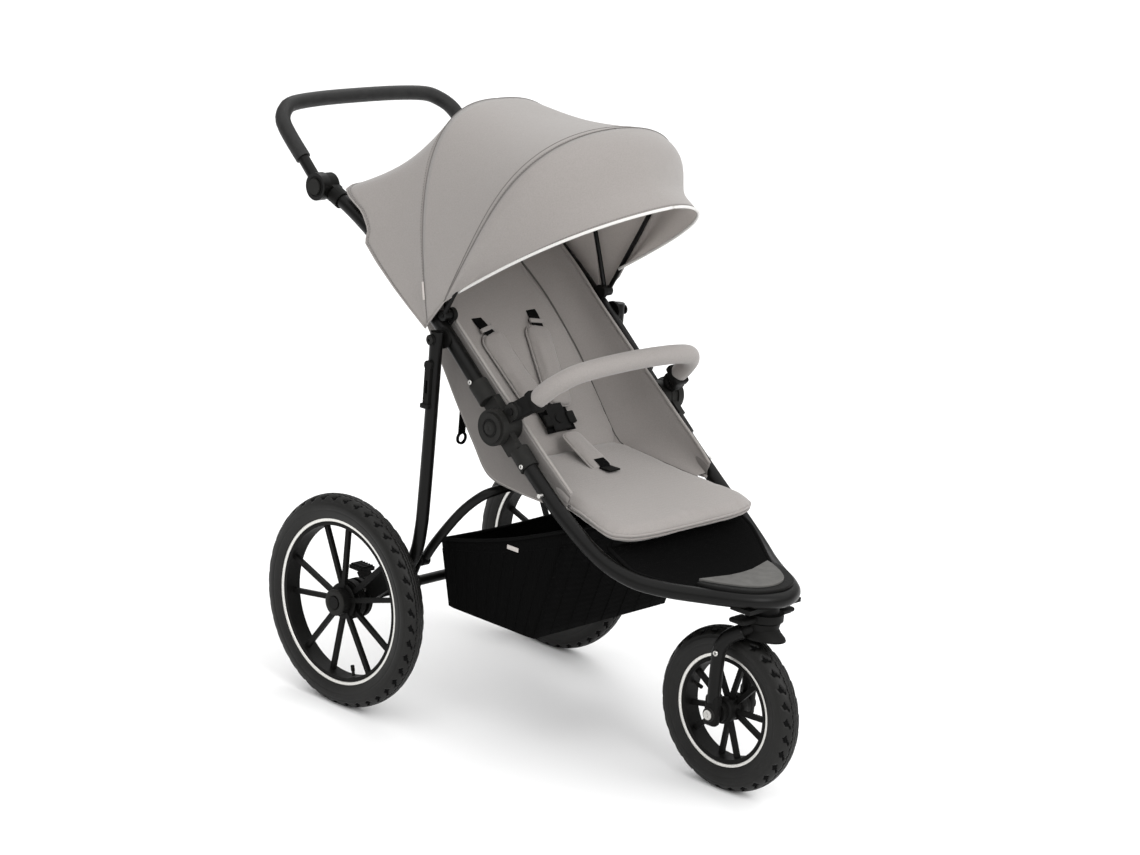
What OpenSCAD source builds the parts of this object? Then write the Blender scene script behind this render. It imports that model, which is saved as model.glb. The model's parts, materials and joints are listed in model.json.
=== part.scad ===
// Three-wheeled jogging stroller with a folding frame, reclining seat and swivelling front wheel.
// The child faces -Y and +X is the child's left. Lengths are in millimetres.

/* [Wheels] */
// Outer radius of the rear tyres
rear_r = 200; // [190:1:205]
// Thickness of the rear tyres
rear_tyre_d = 44; // [38:1:46]
// Distance between the middles of the rear wheels
track = 570; // [566:1:600]
// Outer radius of the front tyre
front_r = 149; // [140:1:152]
// Thickness of the front tyre
front_tyre_d = 47; // [40:1:50]
// Distance between the front and rear axles
wheelbase = 706; // [700:1:712]
// Number of spokes in each wheel
spokes = 10; // [8:2:12]

/* [Frame] */
// Distance from the middle of the stroller to each side rail
rail_x = 208; // [206:0.5:208]
// Diameter of the main frame tubes
rail_d = 28; // [26:1:28]
// Distance from the middle of the stroller to each rear leg
leg_x = 240.5; // [240:0.5:241]
// Diameter of the rear legs
leg_d = 24; // [20:1:24]
// Height of the front loop's tube above the floor
loop_z = 380; // [376:1:384]
// Diameter of the cross tube between the rear wheels
cross_d = 19; // [14:1:20]

/* [Handle] */
// Distance from the middle of the stroller to each arm of the handle
handle_x = 224; // [222:1:226]
// Diameter of the padded grip
grip_d = 29; // [26:1:31]

/* [Seat] */
// Thickness of the seat cushion
seat_t = 30; // [20:1:32]
// Thickness of the backrest
back_t = 24; // [18:1:26]
// Half of the backrest's width
back_x = 164; // [150:1:168]
// Diameter of the padded bumper bar
bumper_d = 36; // [30:1:38]

/* [Canopy] */
// Half of the canopy's width
canopy_x = 227; // [225:1:227]
// Thickness of the canopy's fabric
skin_t = 3; // [2:0.5:3]

/* [Hidden] */
$fn = 48;

// The frame's origin lies this far in front of the rear axle; places below are measured from that axle.
rear_axle_y = 244;

// Running clearance between a pin and its hole, on the radius
run = 0.06;
// Gap between bodies that pass each other
gap = 0.5;
rail_r = rail_d / 2;
leg_r = leg_d / 2;
rail_in = rail_x - rail_r;
rail_out = rail_x + rail_r;
leg_in = leg_x - leg_r;
leg_out = leg_x + leg_r;

// Joint centres as [y, z]
fold = [-300, 600];
leg_top = [-149, 728];
handle_pivot = [200, 940];
canopy_pivot = [-140, 767];
bumper_pivot = [-330, 634];
brace_pivot = [-128, 303];
cross_at = [-112, 256];
latch_pivot = [-150, 682];
pedal_pivot = [14, 222];
steer_y = -763;
crease = [-262, 512];
back_top = [20, 837];

// Directions of the rails where they leave the fold joint, in degrees above +Y
upper_slope = 40.6;
lower_slope = 220.4;

// Half of the front loop, from the fold joint to the nose
loop_half = [
    [rail_x, -345, 562], [rail_x, -393, 522], [rail_x - 2, -460, 471], [rail_x - 11, -540, 419],
    [176, -600, 392], [143, -652, loop_z + 2], [106, -706, loop_z], [77, -750, loop_z],
    [43, -786, loop_z], [0, -801, loop_z]
];
// One upper rail, from the fold joint to the handle
upper_path = [
    [rail_x, -257, 637], [rail_x, -215, 673], [rail_x, -149, 728], [rail_x, -60, 795],
    [rail_x, 50, 868], [rail_x, 119, 906], [rail_x, 171.5, 927.9]
];
// One rear leg, from its top to the axle casting
leg_path = [
    [leg_x, -149, 742], [leg_x, -149, 600], [leg_x, -146, 430], [leg_x, -143, 370],
    [leg_x, -134, 322], [leg_x, -113, 289], [leg_x, -80, 261]
];
// Half of the brace, from the leg to the middle of its cross bar
brace_half = [
    [212, -128, 303], [211, -155, 345], [205, -205, 411], [194, -243, 450],
    [172, -260, 463], [140, -263, 466], [0, -263, 466]
];
// Half of the handle, from its hub to the middle
handle_half = [
    [handle_x, 214, 952], [handle_x, 250, 984], [handle_x, 292, 1020], [handle_x - 5, 318, 1043],
    [handle_x - 25, 336, 1059], [170, 346, 1068], [100, 351, 1072], [0, 352, 1073]
];
// Half of the bumper bar, from its hinge to the middle
bumper_half = [
    [200, -336, 641], [195, -360, 663], [182, -387, 689], [158, -407, 708], [105, -420, 720], [0, -426, 724]
];

// Points and curves
function mirrored(p) = [for (i = [len(p) - 2:-1:0]) [-p[i][0], p[i][1], p[i][2]]];
function whole(half) = concat(half, mirrored(half));
function curve_point(a, b, c, d, t) =
    0.5 * (2 * b + (c - a) * t + (2 * a - 5 * b + 4 * c - d) * t * t + (3 * b - a - 3 * c + d) * t * t * t);
function smooth(p, n) = concat(
    [for (i = [0:len(p) - 2], k = [0:n - 1])
        curve_point(p[max(i - 1, 0)], p[i], p[i + 1], p[min(i + 2, len(p) - 1)], k / n)],
    [p[len(p) - 1]]
);
function unit(v) = v / norm(v);
function mix(a, b, t) = a + (b - a) * t;
function flat(rows) = [for (r = rows) each r];
function along(p, i) = unit(p[min(i + 1, len(p) - 1)] - p[max(i - 1, 0)]);
function ring(p, i, r, up, n) =
    let (t = along(p, i), u = unit(cross(up, t)), v = cross(t, u))
    [for (k = [0:n - 1]) p[i] + r * (cos(360 * k / n) * u + sin(360 * k / n) * v)];

// One bow or hem of the canopy: a rounded arch of half width w that rises from a side point to its crown.
// The first power rounds it across, the second upwards.
function arch(side, crown, w, powers, n) = [
    for (k = [0:n])
        let (a = 180 * k / n, c = cos(a), s = sin(a), t = pow(s, 2 / powers[1]))
        [w * sign(c) * pow(abs(c), 2 / powers[0]), mix(side[0], crown[0], t), mix(side[1], crown[1], t)]
];
function lofted(a, b, n, share = 1) = [for (i = [0:n]) [for (k = [0:len(a) - 1]) mix(a[k], b[k], share * i / n)]];

// Places every part in the stroller's frame
module placed() {
    translate([0, rear_axle_y, 0]) children();
}

// A part for the child's left side (+X) or, mirrored, for the right
module on_side(side) {
    placed() scale([side, 1, 1]) children();
}

// A round tube along a path
module tube(path, r, up = [0, 0, 1], n = 16) {
    m = len(path);
    points = flat([for (i = [0:m - 1]) ring(path, i, r, up, n)]);
    walls = [for (i = [0:m - 2], k = [0:n - 1])
        let (a = i * n + k, b = i * n + (k + 1) % n) each [[a, a + n, b], [b, a + n, b + n]]];
    ends = [[for (k = [0:n - 1]) k], [for (k = [n - 1:-1:0]) (m - 1) * n + k]];
    polyhedron(points, concat(walls, ends));
}

// A closed sheet between two grids of points, the first on its outer side
module sheet(outer, inner) {
    m = len(outer);
    n = len(outer[0]);
    s = m * n;
    faces = [for (i = [0:m - 2], k = [0:n - 2])
        let (a = i * n + k, b = a + 1, c = b + n, d = a + n)
        each [[a, b, c], [a, c, d], [a + s, c + s, b + s], [a + s, d + s, c + s]]];
    rows = [for (k = [0:n - 2]) let (e = (m - 1) * n + k)
        each [[k + s, k + 1 + s, k + 1], [k + s, k + 1, k], [e, e + 1, e + 1 + s], [e, e + 1 + s, e + s]]];
    sides = [for (i = [0:m - 2]) let (a = i * n, b = a + n, c = a + n - 1, d = c + n)
        each [[a, b, b + s], [a, b + s, a + s], [c + s, d + s, d], [c + s, d, c]]];
    polyhedron(concat(flat(outer), flat(inner)), concat(faces, rows, sides));
}

// A round bar along X between two distances from the middle
module bar_x(at, r, from, to) {
    translate([from, at[0], at[1]]) rotate([0, 90, 0]) cylinder(r = r, h = to - from);
}

// A block that starts at a point and runs along a slope in the side view
module block(at, slope, from_x, to_x, start, length, height) {
    translate([from_x, at[0], at[1]]) rotate([slope, 0, 0])
        translate([0, start, -height / 2]) cube([to_x - from_x, length, height]);
}

// A socket around a rail that leaves a joint along a slope
module socket(at, slope, start, length, deep) {
    translate([rail_x, at[0], at[1]]) rotate([slope - 90, 0, 0]) difference() {
        translate([0, 0, start]) cylinder(r = rail_r + 4, h = length);
        translate([0, 0, deep]) cylinder(r = rail_r + 0.3, h = length);
    }
}

// Front frame
module front_tube() {
    color("black") placed() tube(smooth(whole(loop_half), 4), rail_r);
}

// Outline of the footplate: a nose that follows the loop, and a hollow rear edge
function nose(t) = let (a = 180 * t) [104 * cos(a) * (0.72 + 0.28 * pow(abs(cos(a)), 0.6)), -700 - 108 * pow(sin(a), 0.8)];
footplate_base = loop_z + rail_r + gap;
footplate_t = 8;

module footplate() {
    color("dimgray") placed() translate([0, 0, footplate_base]) difference() {
        linear_extrude(footplate_t) polygon(concat([[104, -688]], [for (k = [0:24]) nose(k / 24)], [[-104, -688]]));
        translate([0, -463.5, -1]) cylinder(r = 247.5, h = footplate_t + 2, $fn = 96);
    }
}

// Half widths of the footrest's fabric and the height of its top
footrest_rows = [[176, -556, 431], [166, -588, 419], [130, -650, 399], [108, -684, 392]];

module footrest_fabric() {
    rows = smooth(footrest_rows, 3);
    top = [for (r = rows) [for (k = [-6:6]) [r[0] * k / 6, r[1], r[2] - 3 * (1 - pow(k / 6, 2))]]];
    color([0.08, 0.08, 0.08]) placed() sheet(top, [for (row = top) [for (p = row) p - [0, 0, 4]]]);
}

head_r = 25;
head_low = 331;

module head_housing() {
    color("black") placed() difference() {
        union() {
            translate([0, steer_y, head_low]) cylinder(r = head_r, h = loop_z + 12 - head_low);
            // saddle that carries the nose of the loop from below
            translate([-70, steer_y - 22, loop_z - rail_r - 8]) cube([140, 44, 8 - gap / 5]);
        }
        translate([0, steer_y, head_low - 1]) cylinder(r = 8 + run, h = 40);
        // room for the nose of the loop
        translate([-head_r, steer_y - head_r - 1, loop_z - rail_r - gap / 5]) cube([2 * head_r, 4, 30]);
    }
}

lock_r = 34;

module swivel_lock() {
    color([0.12, 0.12, 0.12]) placed() translate([0, steer_y, head_low + 2]) difference() {
        union() {
            cylinder(r = lock_r, h = 14);
            // two thumb wings
            for (side = [-1, 1]) translate([side * 47 - 15, -9, 2]) cube([30, 18, 8]);
        }
        translate([0, 0, -1]) cylinder(r = head_r + gap, h = 20);
    }
}

// Fold joints: the lower half has the outer lug, the cap and the pin, the upper half the inner lug
lug_r = 30;
lug_split = rail_x + 2;
socket_start = 54;
socket_length = 40;
fold_pin_r = 6;
bumper_boss_r = 15;

module fold_lower() {
    difference() {
        union() {
            bar_x(fold, lug_r, lug_split + gap, rail_out + 4);
            block(fold, lower_slope, lug_split + 1, rail_out + 2, 0, socket_start + 2, 32);
            socket(fold, lower_slope, socket_start, socket_length, 58);
            bar_x(fold, 33, rail_out + 4, rail_out + 18);
            bar_x(fold, 27, rail_out + 18, rail_out + 22);
            bar_x(fold, fold_pin_r, rail_in, lug_split + 2);
            // bracket for the bumper bar
            block(fold, 131, lug_split + 1, rail_out + 2, 10, 35, 26);
            bar_x(bumper_pivot, bumper_boss_r, lug_split + gap, rail_out + 3);
        }
        bar_x(bumper_pivot, 7 + run, lug_split, rail_out + 4);
    }
}

module fold_lower_left() {
    color("black") on_side(1) fold_lower();
}

module fold_lower_right() {
    color("black") on_side(-1) fold_lower();
}

module fold_upper() {
    difference() {
        union() {
            bar_x(fold, lug_r - 1, rail_in - 4, lug_split);
            block(fold, upper_slope, rail_in - 2, lug_split - 0.5, 0, socket_start + 2, 32);
            socket(fold, upper_slope, socket_start, socket_length, 56);
        }
        bar_x(fold, fold_pin_r + run, rail_in - 10, rail_out);
    }
}

module fold_upper_left() {
    color("black") on_side(1) fold_upper();
}

module fold_upper_right() {
    color("black") on_side(-1) fold_upper();
}

// Bumper bar and its two release buttons
bumper_eye_in = 190;

module bumper_eye() {
    difference() {
        union() {
            bar_x(bumper_pivot, bumper_boss_r, bumper_eye_in, lug_split);
            block(bumper_pivot, 135, bumper_eye_in + 2, lug_split - 1, 8, 26, 24);
        }
        bar_x(bumper_pivot, 7 + run, bumper_eye_in + 10, lug_split + 1);
    }
}

module bumper_bar() {
    color([0.62, 0.6, 0.58]) placed() {
        tube(smooth(whole([for (i = [1:len(bumper_half) - 1]) bumper_half[i]]), 4), bumper_d / 2);
        for (side = [-1, 1]) scale([side, 1, 1]) bumper_eye();
    }
}

module bumper_button() {
    bar_x(bumper_pivot, 7, bumper_eye_in + 14, rail_out + 6);
}

module bumper_button_left() {
    color([0.2, 0.2, 0.2]) on_side(1) bumper_button();
}

module bumper_button_right() {
    color([0.2, 0.2, 0.2]) on_side(-1) bumper_button();
}

// Seat: rows of [half width, y, z of the top] from the crease to the front lip
seat_rows = [
    [154, -266, 508], [166, -330, 502], [172, -400, 496], [176, -460, 488],
    [186, -530, 474], [184, -568, 466], [150, -592, 456]
];

module seat_cushion() {
    rows = smooth(seat_rows, 2);
    top = [for (r = rows) [for (k = [8:-1:-8]) [r[0] * k / 8, r[1], r[2] - 6 * pow(abs(k / 8), 4)]]];
    base = [for (r = rows) [for (k = [8:-1:-8]) [r[0] * k / 8, r[1], r[2] - seat_t + 8 * pow(abs(k / 8), 4)]]];
    color([0.62, 0.6, 0.58]) placed() sheet(top, base);
}

// Fabric between a rail and the seat: upper edge along the rail, lower edge along backrest and cushion
side_top = [[187, -30, 806], [187, -140, 728], [187, -235, 648], [187, -330, 566], [184, -420, 502]];
side_low = [[172, -24, 779], [172, -130, 660], [171, -225, 550], [172, -300, 500], [179, -420, 484]];

module seat_side() {
    top = smooth(side_top, 3);
    low = smooth(side_low, 3);
    outer = lofted(top, low, 4);
    sheet(outer, [for (row = outer) [for (p = row) p - [3, 0, 0]]]);
}

module seat_side_left() {
    color([0.6, 0.58, 0.56]) on_side(1) seat_side();
}

module seat_side_right() {
    color([0.6, 0.58, 0.56]) on_side(-1) seat_side();
}

// Harness: a point on the backrest's face at a distance above the crease, lifted off the face
back_dir = unit(back_top - crease);
back_out = [-back_dir[1], back_dir[0]];
back_slope = atan2(back_dir[1], back_dir[0]);
function on_back(x, up, off) = let (p = crease + up * back_dir + off * back_out) [x, p[0], p[1]];

buckle_up = 62;

// Places a shape on the backrest's face: X across, Y up the back, Z away from it
module at_back(x, up, off, turn = 0) {
    translate(on_back(x, up, off)) rotate([back_slope, 0, 0]) rotate([0, 0, turn]) children();
}

module buckle() {
    color([0.06, 0.06, 0.06]) placed() {
        difference() {
            at_back(0, buckle_up, 14) translate([-22, -26, -5]) cube([44, 52, 12]);
            at_back(0, buckle_up - 4, 14) translate([0, 0, -gap]) cylinder(r = 9 + gap, h = 10);
        }
        // strap that holds the buckle down to the seat
        translate([-14, -388, 506]) cube([28, 26, 3]);
    }
}

module buckle_button() {
    color([0.2, 0.2, 0.2]) placed() at_back(0, buckle_up - 4, 14) translate([0, 0, 2.5]) cylinder(r = 9, h = 6);
}

module crotch_pad() {
    rows = [[-268, 546], [-276, 530], [-300, 519], [-330, 515], [-360, 511]];
    top = [for (r = rows) [for (k = [3:-1:-3]) [26 * k / 3, r[0], r[1] + 4 - 3 * pow(k / 3, 2)]]];
    color([0.6, 0.58, 0.56]) placed() sheet(top, [for (row = top) [for (p = row) p - [0, 0, 9]]]);
}

// Pins on the lower rails for the transport latch
module latch_pins() {
    color("gray") for (side = [-1, 1]) on_side(side) bar_x([-418, 503], 4, rail_out, rail_out + 8);
}

// Basket: corners of its side as [y, z] and the half widths at rim and floor
basket_rear_rim = [-142, 341];
basket_front_rim = [-448, 444];
basket_front_low = [-384, 218];
basket_rear_low = [-166, 217];
basket_rim_x = 186;
basket_low_x = 180;
basket_wall = 3;

// A level round the basket at height share t, inset by the wall where asked
function basket_ring(t, inset) = let (
    r = mix(basket_rear_low, basket_rear_rim, t), f = mix(basket_front_low, basket_front_rim, t),
    x = mix(basket_low_x, basket_rim_x, t) - inset,
    ry = r[0] - inset, fy = f[0] + inset
) [[x, ry, r[1]], [x, fy, f[1]], [-x, fy, f[1]], [-x, ry, r[1]]];

module loft4(low, high) {
    polyhedron(concat(low, high), [
        [3, 2, 1, 0], [4, 5, 6, 7], [1, 5, 4, 0], [2, 6, 5, 1], [3, 7, 6, 2], [0, 4, 7, 3]
    ]);
}

module basket() {
    color([0.05, 0.05, 0.05]) placed() difference() {
        loft4(basket_ring(0, 0), basket_ring(1, 0));
        translate([0, 0, basket_wall]) loft4(basket_ring(0, basket_wall), basket_ring(1.1, basket_wall));
    }
}

// Fork and front wheel
fork_x = 46;
fork_half = [[14, steer_y + 4, 317], [34, -744, 312], [fork_x, -716, 284], [fork_x, -706, 236], [fork_x, -706, 170]];
front_hub_x = 37;
axle_r = 5;

module fork() {
    axle = [-wheelbase, front_r];
    color("black") placed() difference() {
        union() {
            translate([0, steer_y, 303]) cylinder(r1 = 24, r2 = 30, h = head_low - 304);
            translate([0, steer_y, 320]) cylinder(r = 8, h = 46);
            for (side = [-1, 1]) scale([side, 1, 1]) {
                tube(smooth(fork_half, 4), 10.5, [1, 0.2, 0.3]);
                bar_x(axle, 14, fork_x - 7, fork_x + 7);
                block(axle, 90, fork_x - 7, fork_x + 7, 0, 30, 20);
            }
        }
        bar_x(axle, axle_r + run, -70, 70);
    }
}

module front_axle() {
    axle = [-wheelbase, front_r];
    color("silver") placed() {
        bar_x(axle, axle_r, -58, 58);
        for (side = [-1, 1]) scale([side, 1, 1]) bar_x(axle, 9, fork_x + 7.2, fork_x + 15);
    }
}

// A wheel's rim, spokes and hub round the Z axis, centred at the origin; the outer side is +Z.
// The spokes stand in pairs, of which the first is at the angle phase.
spoke_spread = 14;

module rim(ring_r, rim_in, half_w, hub_r, hub_low, hub_high, bore_r, spoke_w, phase) {
    difference() {
        union() {
            rotate_extrude($fn = 96) polygon([
                [rim_in, -half_w], [ring_r, -half_w], [ring_r, -half_w + 3], [rim_in + 6, -half_w + 9],
                [rim_in + 6, half_w - 9], [ring_r, half_w - 3], [ring_r, half_w], [rim_in, half_w]
            ]);
            translate([0, 0, hub_low]) cylinder(r = hub_r, h = hub_high - hub_low);
            for (k = [0:spokes / 2 - 1], side = [-1, 1])
                rotate([0, 0, phase + 720 * k / spokes + side * spoke_spread])
                    translate([hub_r - 4, -spoke_w / 2, side * 4 - 4])
                        cube([rim_in - hub_r + 6, spoke_w, 8]);
        }
        translate([0, 0, hub_low - 1]) cylinder(r = bore_r + run, h = hub_high - hub_low + 2);
    }
}

// A tyre that sits on a rim of the given radius
module tyre(outer_r, d, ring_r) {
    rotate_extrude($fn = 96) difference() {
        translate([outer_r - d / 2, 0]) circle(d = d);
        translate([0, -d]) square([ring_r + 0.3, 2 * d]);
    }
}

front_ring_r = 104;
front_rim_in = 90;
rear_ring_r = 157.5;
rear_rim_in = 144;

module at_front_wheel() {
    placed() translate([0, -wheelbase, front_r]) rotate([0, -90, 0]) children();
}

module front_tyre() {
    color([0.1, 0.1, 0.1]) at_front_wheel() tyre(front_r, front_tyre_d, front_ring_r);
}

module front_rim() {
    color([0.05, 0.05, 0.05]) at_front_wheel()
        rim(front_ring_r, front_rim_in, 18, 19, -front_hub_x, front_hub_x, axle_r, 9, 43);
}

// Rear wheels: the hub reaches further in than the tyre, and has holes for the brake pin
rear_hub_in = 262;
rear_hub_out = 309;
stub_r = 6;
brake_ring_r = 30;
brake_holes = 12;
brake_pin_r = 4;

module at_rear_wheel(side) {
    on_side(side) translate([track / 2, 0, rear_r]) rotate([0, 90, 0]) children();
}

module rear_rim(side) {
    hub_low = rear_hub_in - track / 2;
    hub_high = rear_hub_out - track / 2;
    at_rear_wheel(side) difference() {
        union() {
            rim(rear_ring_r, rear_rim_in, 16.5, 24, hub_low, hub_high, stub_r, 9, 23.5);
            // brake ring on the inner side
            translate([0, 0, hub_low + 2]) difference() {
                cylinder(r = 37, h = 12);
                translate([0, 0, -1]) cylinder(r = 22, h = 14);
            }
        }
        for (k = [0:brake_holes - 1]) rotate([0, 0, 360 * (k + 0.5) / brake_holes])
            translate([brake_ring_r, 0, hub_low]) cylinder(r = brake_pin_r + 1, h = 12);
        // pocket for the release button
        translate([0, 0, hub_high - 6]) cylinder(r = 12 + gap, h = 10);
    }
}

module rear_rim_left() {
    color([0.05, 0.05, 0.05]) rear_rim(1);
}

module rear_rim_right() {
    color([0.05, 0.05, 0.05]) rear_rim(-1);
}

module rear_tyre_left() {
    color([0.1, 0.1, 0.1]) at_rear_wheel(1) tyre(rear_r, rear_tyre_d, rear_ring_r);
}

module rear_tyre_right() {
    color([0.1, 0.1, 0.1]) at_rear_wheel(-1) tyre(rear_r, rear_tyre_d, rear_ring_r);
}

module wheel_button() {
    bar_x([0, rear_r], 12, rear_hub_out - 2, rear_hub_out + 4);
}

module wheel_button_left() {
    color([0.15, 0.15, 0.15]) on_side(1) wheel_button();
}

module wheel_button_right() {
    color([0.15, 0.15, 0.15]) on_side(-1) wheel_button();
}

// Upper frame
module upper_tube_left() {
    color("black") on_side(1) tube(smooth(upper_path, 3), rail_r, [1, 0, 0]);
}

module upper_tube_right() {
    color("black") on_side(-1) tube(smooth(upper_path, 3), rail_r, [1, 0, 0]);
}

module leg_brackets() {
    color("black") for (side = [-1, 1]) on_side(side) {
        bar_x(leg_top, 19, rail_out + 0.2, leg_in - gap);
        bar_x(leg_top, 5, leg_in - gap, leg_out + 2);
        bar_x(leg_top, 10, leg_out + gap, leg_out + 4);
    }
}

bow_r = 4.5;
bow_x = 213;

module canopy_brackets() {
    color("black") for (side = [-1, 1]) on_side(side) difference() {
        union() {
            bar_x(canopy_pivot, 13, rail_in, rail_in + 9);
            bar_x(canopy_pivot, 4, rail_in + 9, bow_x + 9);
            // foot that clasps the rail
            block(canopy_pivot, -54, rail_in + 0.5, rail_in + 8, 4, 19, 22);
        }
        translate([rail_x, leg_top[0], leg_top[1]]) rotate([-52, 0, 0])
            translate([0, 0, -40]) cylinder(r = rail_r + 1.2, h = 110);
    }
}

// Canopy: side point and crown of each hem or bow as [y, z], its half width and its two powers
rear_hem = [[-104, 735], [132, 944], canopy_x, [9, 9]];
mid_arch = [[-116, 758], [-26, 1128], canopy_x + 1, [2.7, 2.9]];
front_arch = [[-155, 800], [-330, 1121], canopy_x + 4, [2.1, 5]];
visor_edge = [[-168, 815], [-476, 1010], canopy_x - 16, [1.6, 3]];
arch_steps = 24;

function hem_line(hem, inset) = arch(
    hem[0], hem[1] - inset * unit(hem[1] - canopy_pivot), hem[2] - inset, hem[3], arch_steps
);

// A panel from one hem or bow nearly to the next
module canopy_panel(from, to) {
    placed() sheet(
        lofted(hem_line(from, 0), hem_line(to, 0), 5, 0.99),
        lofted(hem_line(from, skin_t), hem_line(to, skin_t), 5, 0.99)
    );
}

module canopy_rear_panel() {
    color([0.6, 0.58, 0.56]) canopy_panel(rear_hem, mid_arch);
}

module canopy_mid_panel() {
    color([0.62, 0.6, 0.58]) canopy_panel(mid_arch, front_arch);
}

module canopy_visor() {
    color([0.62, 0.6, 0.58]) canopy_panel(front_arch, visor_edge);
}

// A bow of half width w that lies inside the fabric, with an eye at each foot
module bow(hem, w, eye_in, eye_out) {
    reach = hem[1] - canopy_pivot;
    path = arch(canopy_pivot + 8 * unit(reach), hem[1] - 14 * unit(reach), w, hem[3], 40);
    placed() {
        tube(path, bow_r, cross([1, 0, 0], [0, reach[0], reach[1]]), 10);
        for (side = [-1, 1]) scale([side, 1, 1]) difference() {
            bar_x(canopy_pivot, 10, eye_in, eye_out);
            bar_x(canopy_pivot, 4 + run, eye_in - 1, eye_out + 1);
        }
    }
}

module mid_bow() {
    color([0.1, 0.1, 0.1]) bow(mid_arch, bow_x - 5, rail_in + 9 + gap, bow_x);
}

module front_bow() {
    color([0.1, 0.1, 0.1]) bow(front_arch, bow_x + 5, bow_x + gap, bow_x + 8);
}

// Handle
hub_r = 26;
hub_in = rail_out - 4;
hub_out = handle_x + 12;
mount_slope = 203;

module handle_mounts() {
    color("black") for (side = [-1, 1]) on_side(side) {
        bar_x(handle_pivot, hub_r - 2, rail_in + 2, hub_in - gap);
        block(handle_pivot, mount_slope, rail_in + 3, hub_in - 1, 14, 15, 30);
        bar_x(handle_pivot, 6, hub_in - gap - 1, hub_in + 6);
        // collar on the end of the rail
        translate([rail_x, handle_pivot[0], handle_pivot[1]]) rotate([mount_slope - 90, 0, 0]) difference() {
            translate([0, 0, hub_r + 1]) cylinder(r = rail_r + 3, h = 24);
            translate([0, 0, 30.5]) cylinder(r = rail_r + gap, h = 24);
        }
    }
}

module handle_tube() {
    color([0.08, 0.08, 0.08]) placed() {
        for (side = [-1, 1]) scale([side, 1, 1]) difference() {
            union() {
                tube(smooth([for (i = [0:3]) handle_half[i]], 3), 11);
                bar_x(handle_pivot, hub_r, hub_in, hub_out);
            }
            // room for the mount that the hub turns on
            bar_x(handle_pivot, hub_r + gap, rail_in, hub_in);
            bar_x(handle_pivot, 6 + run, hub_in - 1, hub_in + 7);
            bar_x(handle_pivot, 15 + gap, hub_out - 5, hub_out + 1);
        }
    }
}

grip_start = 24;

module handle_grip() {
    inner = smooth(whole([for (i = [1:len(handle_half) - 1]) handle_half[i]]), 4);
    color([0.05, 0.05, 0.05]) placed() difference() {
        tube(inner, grip_d / 2);
        tube(smooth([for (i = [0:3]) handle_half[i]], 3), 11.2);
        tube(smooth([for (i = [0:3]) [-handle_half[i][0], handle_half[i][1], handle_half[i][2]]], 3), 11.2);
    }
}

module handle_button() {
    bar_x(handle_pivot, 15, hub_out - 1, hub_out + 4);
}

module handle_button_left() {
    color([0.2, 0.2, 0.2]) on_side(1) handle_button();
}

module handle_button_right() {
    color([0.2, 0.2, 0.2]) on_side(-1) handle_button();
}

// Backrest with straps
back_length = norm(back_top - crease);

module backrest() {
    rows = [for (k = [0:8]) 6 + (back_length - 6) * k / 8];
    function half_w(u) = back_x + 4 - 30 * pow(u / back_length, 6);
    front = [for (u = rows) [for (k = [8:-1:-8]) on_back(half_w(u) * k / 8, u, -5 * pow(abs(k / 8), 4))]];
    rear = [for (u = rows) [for (k = [8:-1:-8]) on_back(half_w(u) * k / 8, u, 8 * pow(abs(k / 8), 4) - back_t)]];
    color([0.62, 0.6, 0.58]) placed() {
        sheet(rear, front);
        // hem rod that the back turns on
        bar_x(crease, 3.5, -back_x + 12, back_x - 12);
    }
}

slot_x = 72;
slot_up = 272;
pad_from = 104;
pad_to = 250;

module shoulder_straps() {
    color([0.05, 0.05, 0.05]) placed() for (side = [-1, 1]) scale([side, 1, 1]) {
        at_back(slot_x, slot_up, 0) translate([-14, -26, 0.4]) cube([28, 32, 3]);
        at_back(26, 86, 0, -14) translate([-10, -8, 2]) cube([20, 24, 3]);
    }
}

module shoulder_pads() {
    color([0.6, 0.58, 0.56]) placed() for (side = [-1, 1]) scale([side, 1, 1]) {
        at_back(24, pad_from, 0, -12.5) translate([-23, 0, 6]) cube([46, pad_to - pad_from, 12]);
    }
}

module pull_strap() {
    color([0.05, 0.05, 0.05]) placed() translate([-178, -166, 540]) {
        translate([-8, -3, 8]) cube([16, 3, 54]);
        rotate([90, 0, 0]) difference() {
            cylinder(r = 12, h = 4);
            translate([0, 0, -1]) cylinder(r = 8, h = 6);
        }
    }
}

// Rear legs
module rear_leg() {
    difference() {
        tube(smooth(leg_path, 4), leg_r, [1, 0, 0]);
        bar_x(leg_top, 5 + run, leg_in - 1, leg_out + 1);
    }
}

module rear_leg_left() {
    color("black") on_side(1) rear_leg();
}

module rear_leg_right() {
    color("black") on_side(-1) rear_leg();
}

module axle_tube() {
    color("black") placed() bar_x(cross_at, cross_d / 2, -leg_in + gap, leg_in - gap);
}

arm_slope = atan2(-(261 - rear_r), 80);
housing_out = 256;

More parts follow.
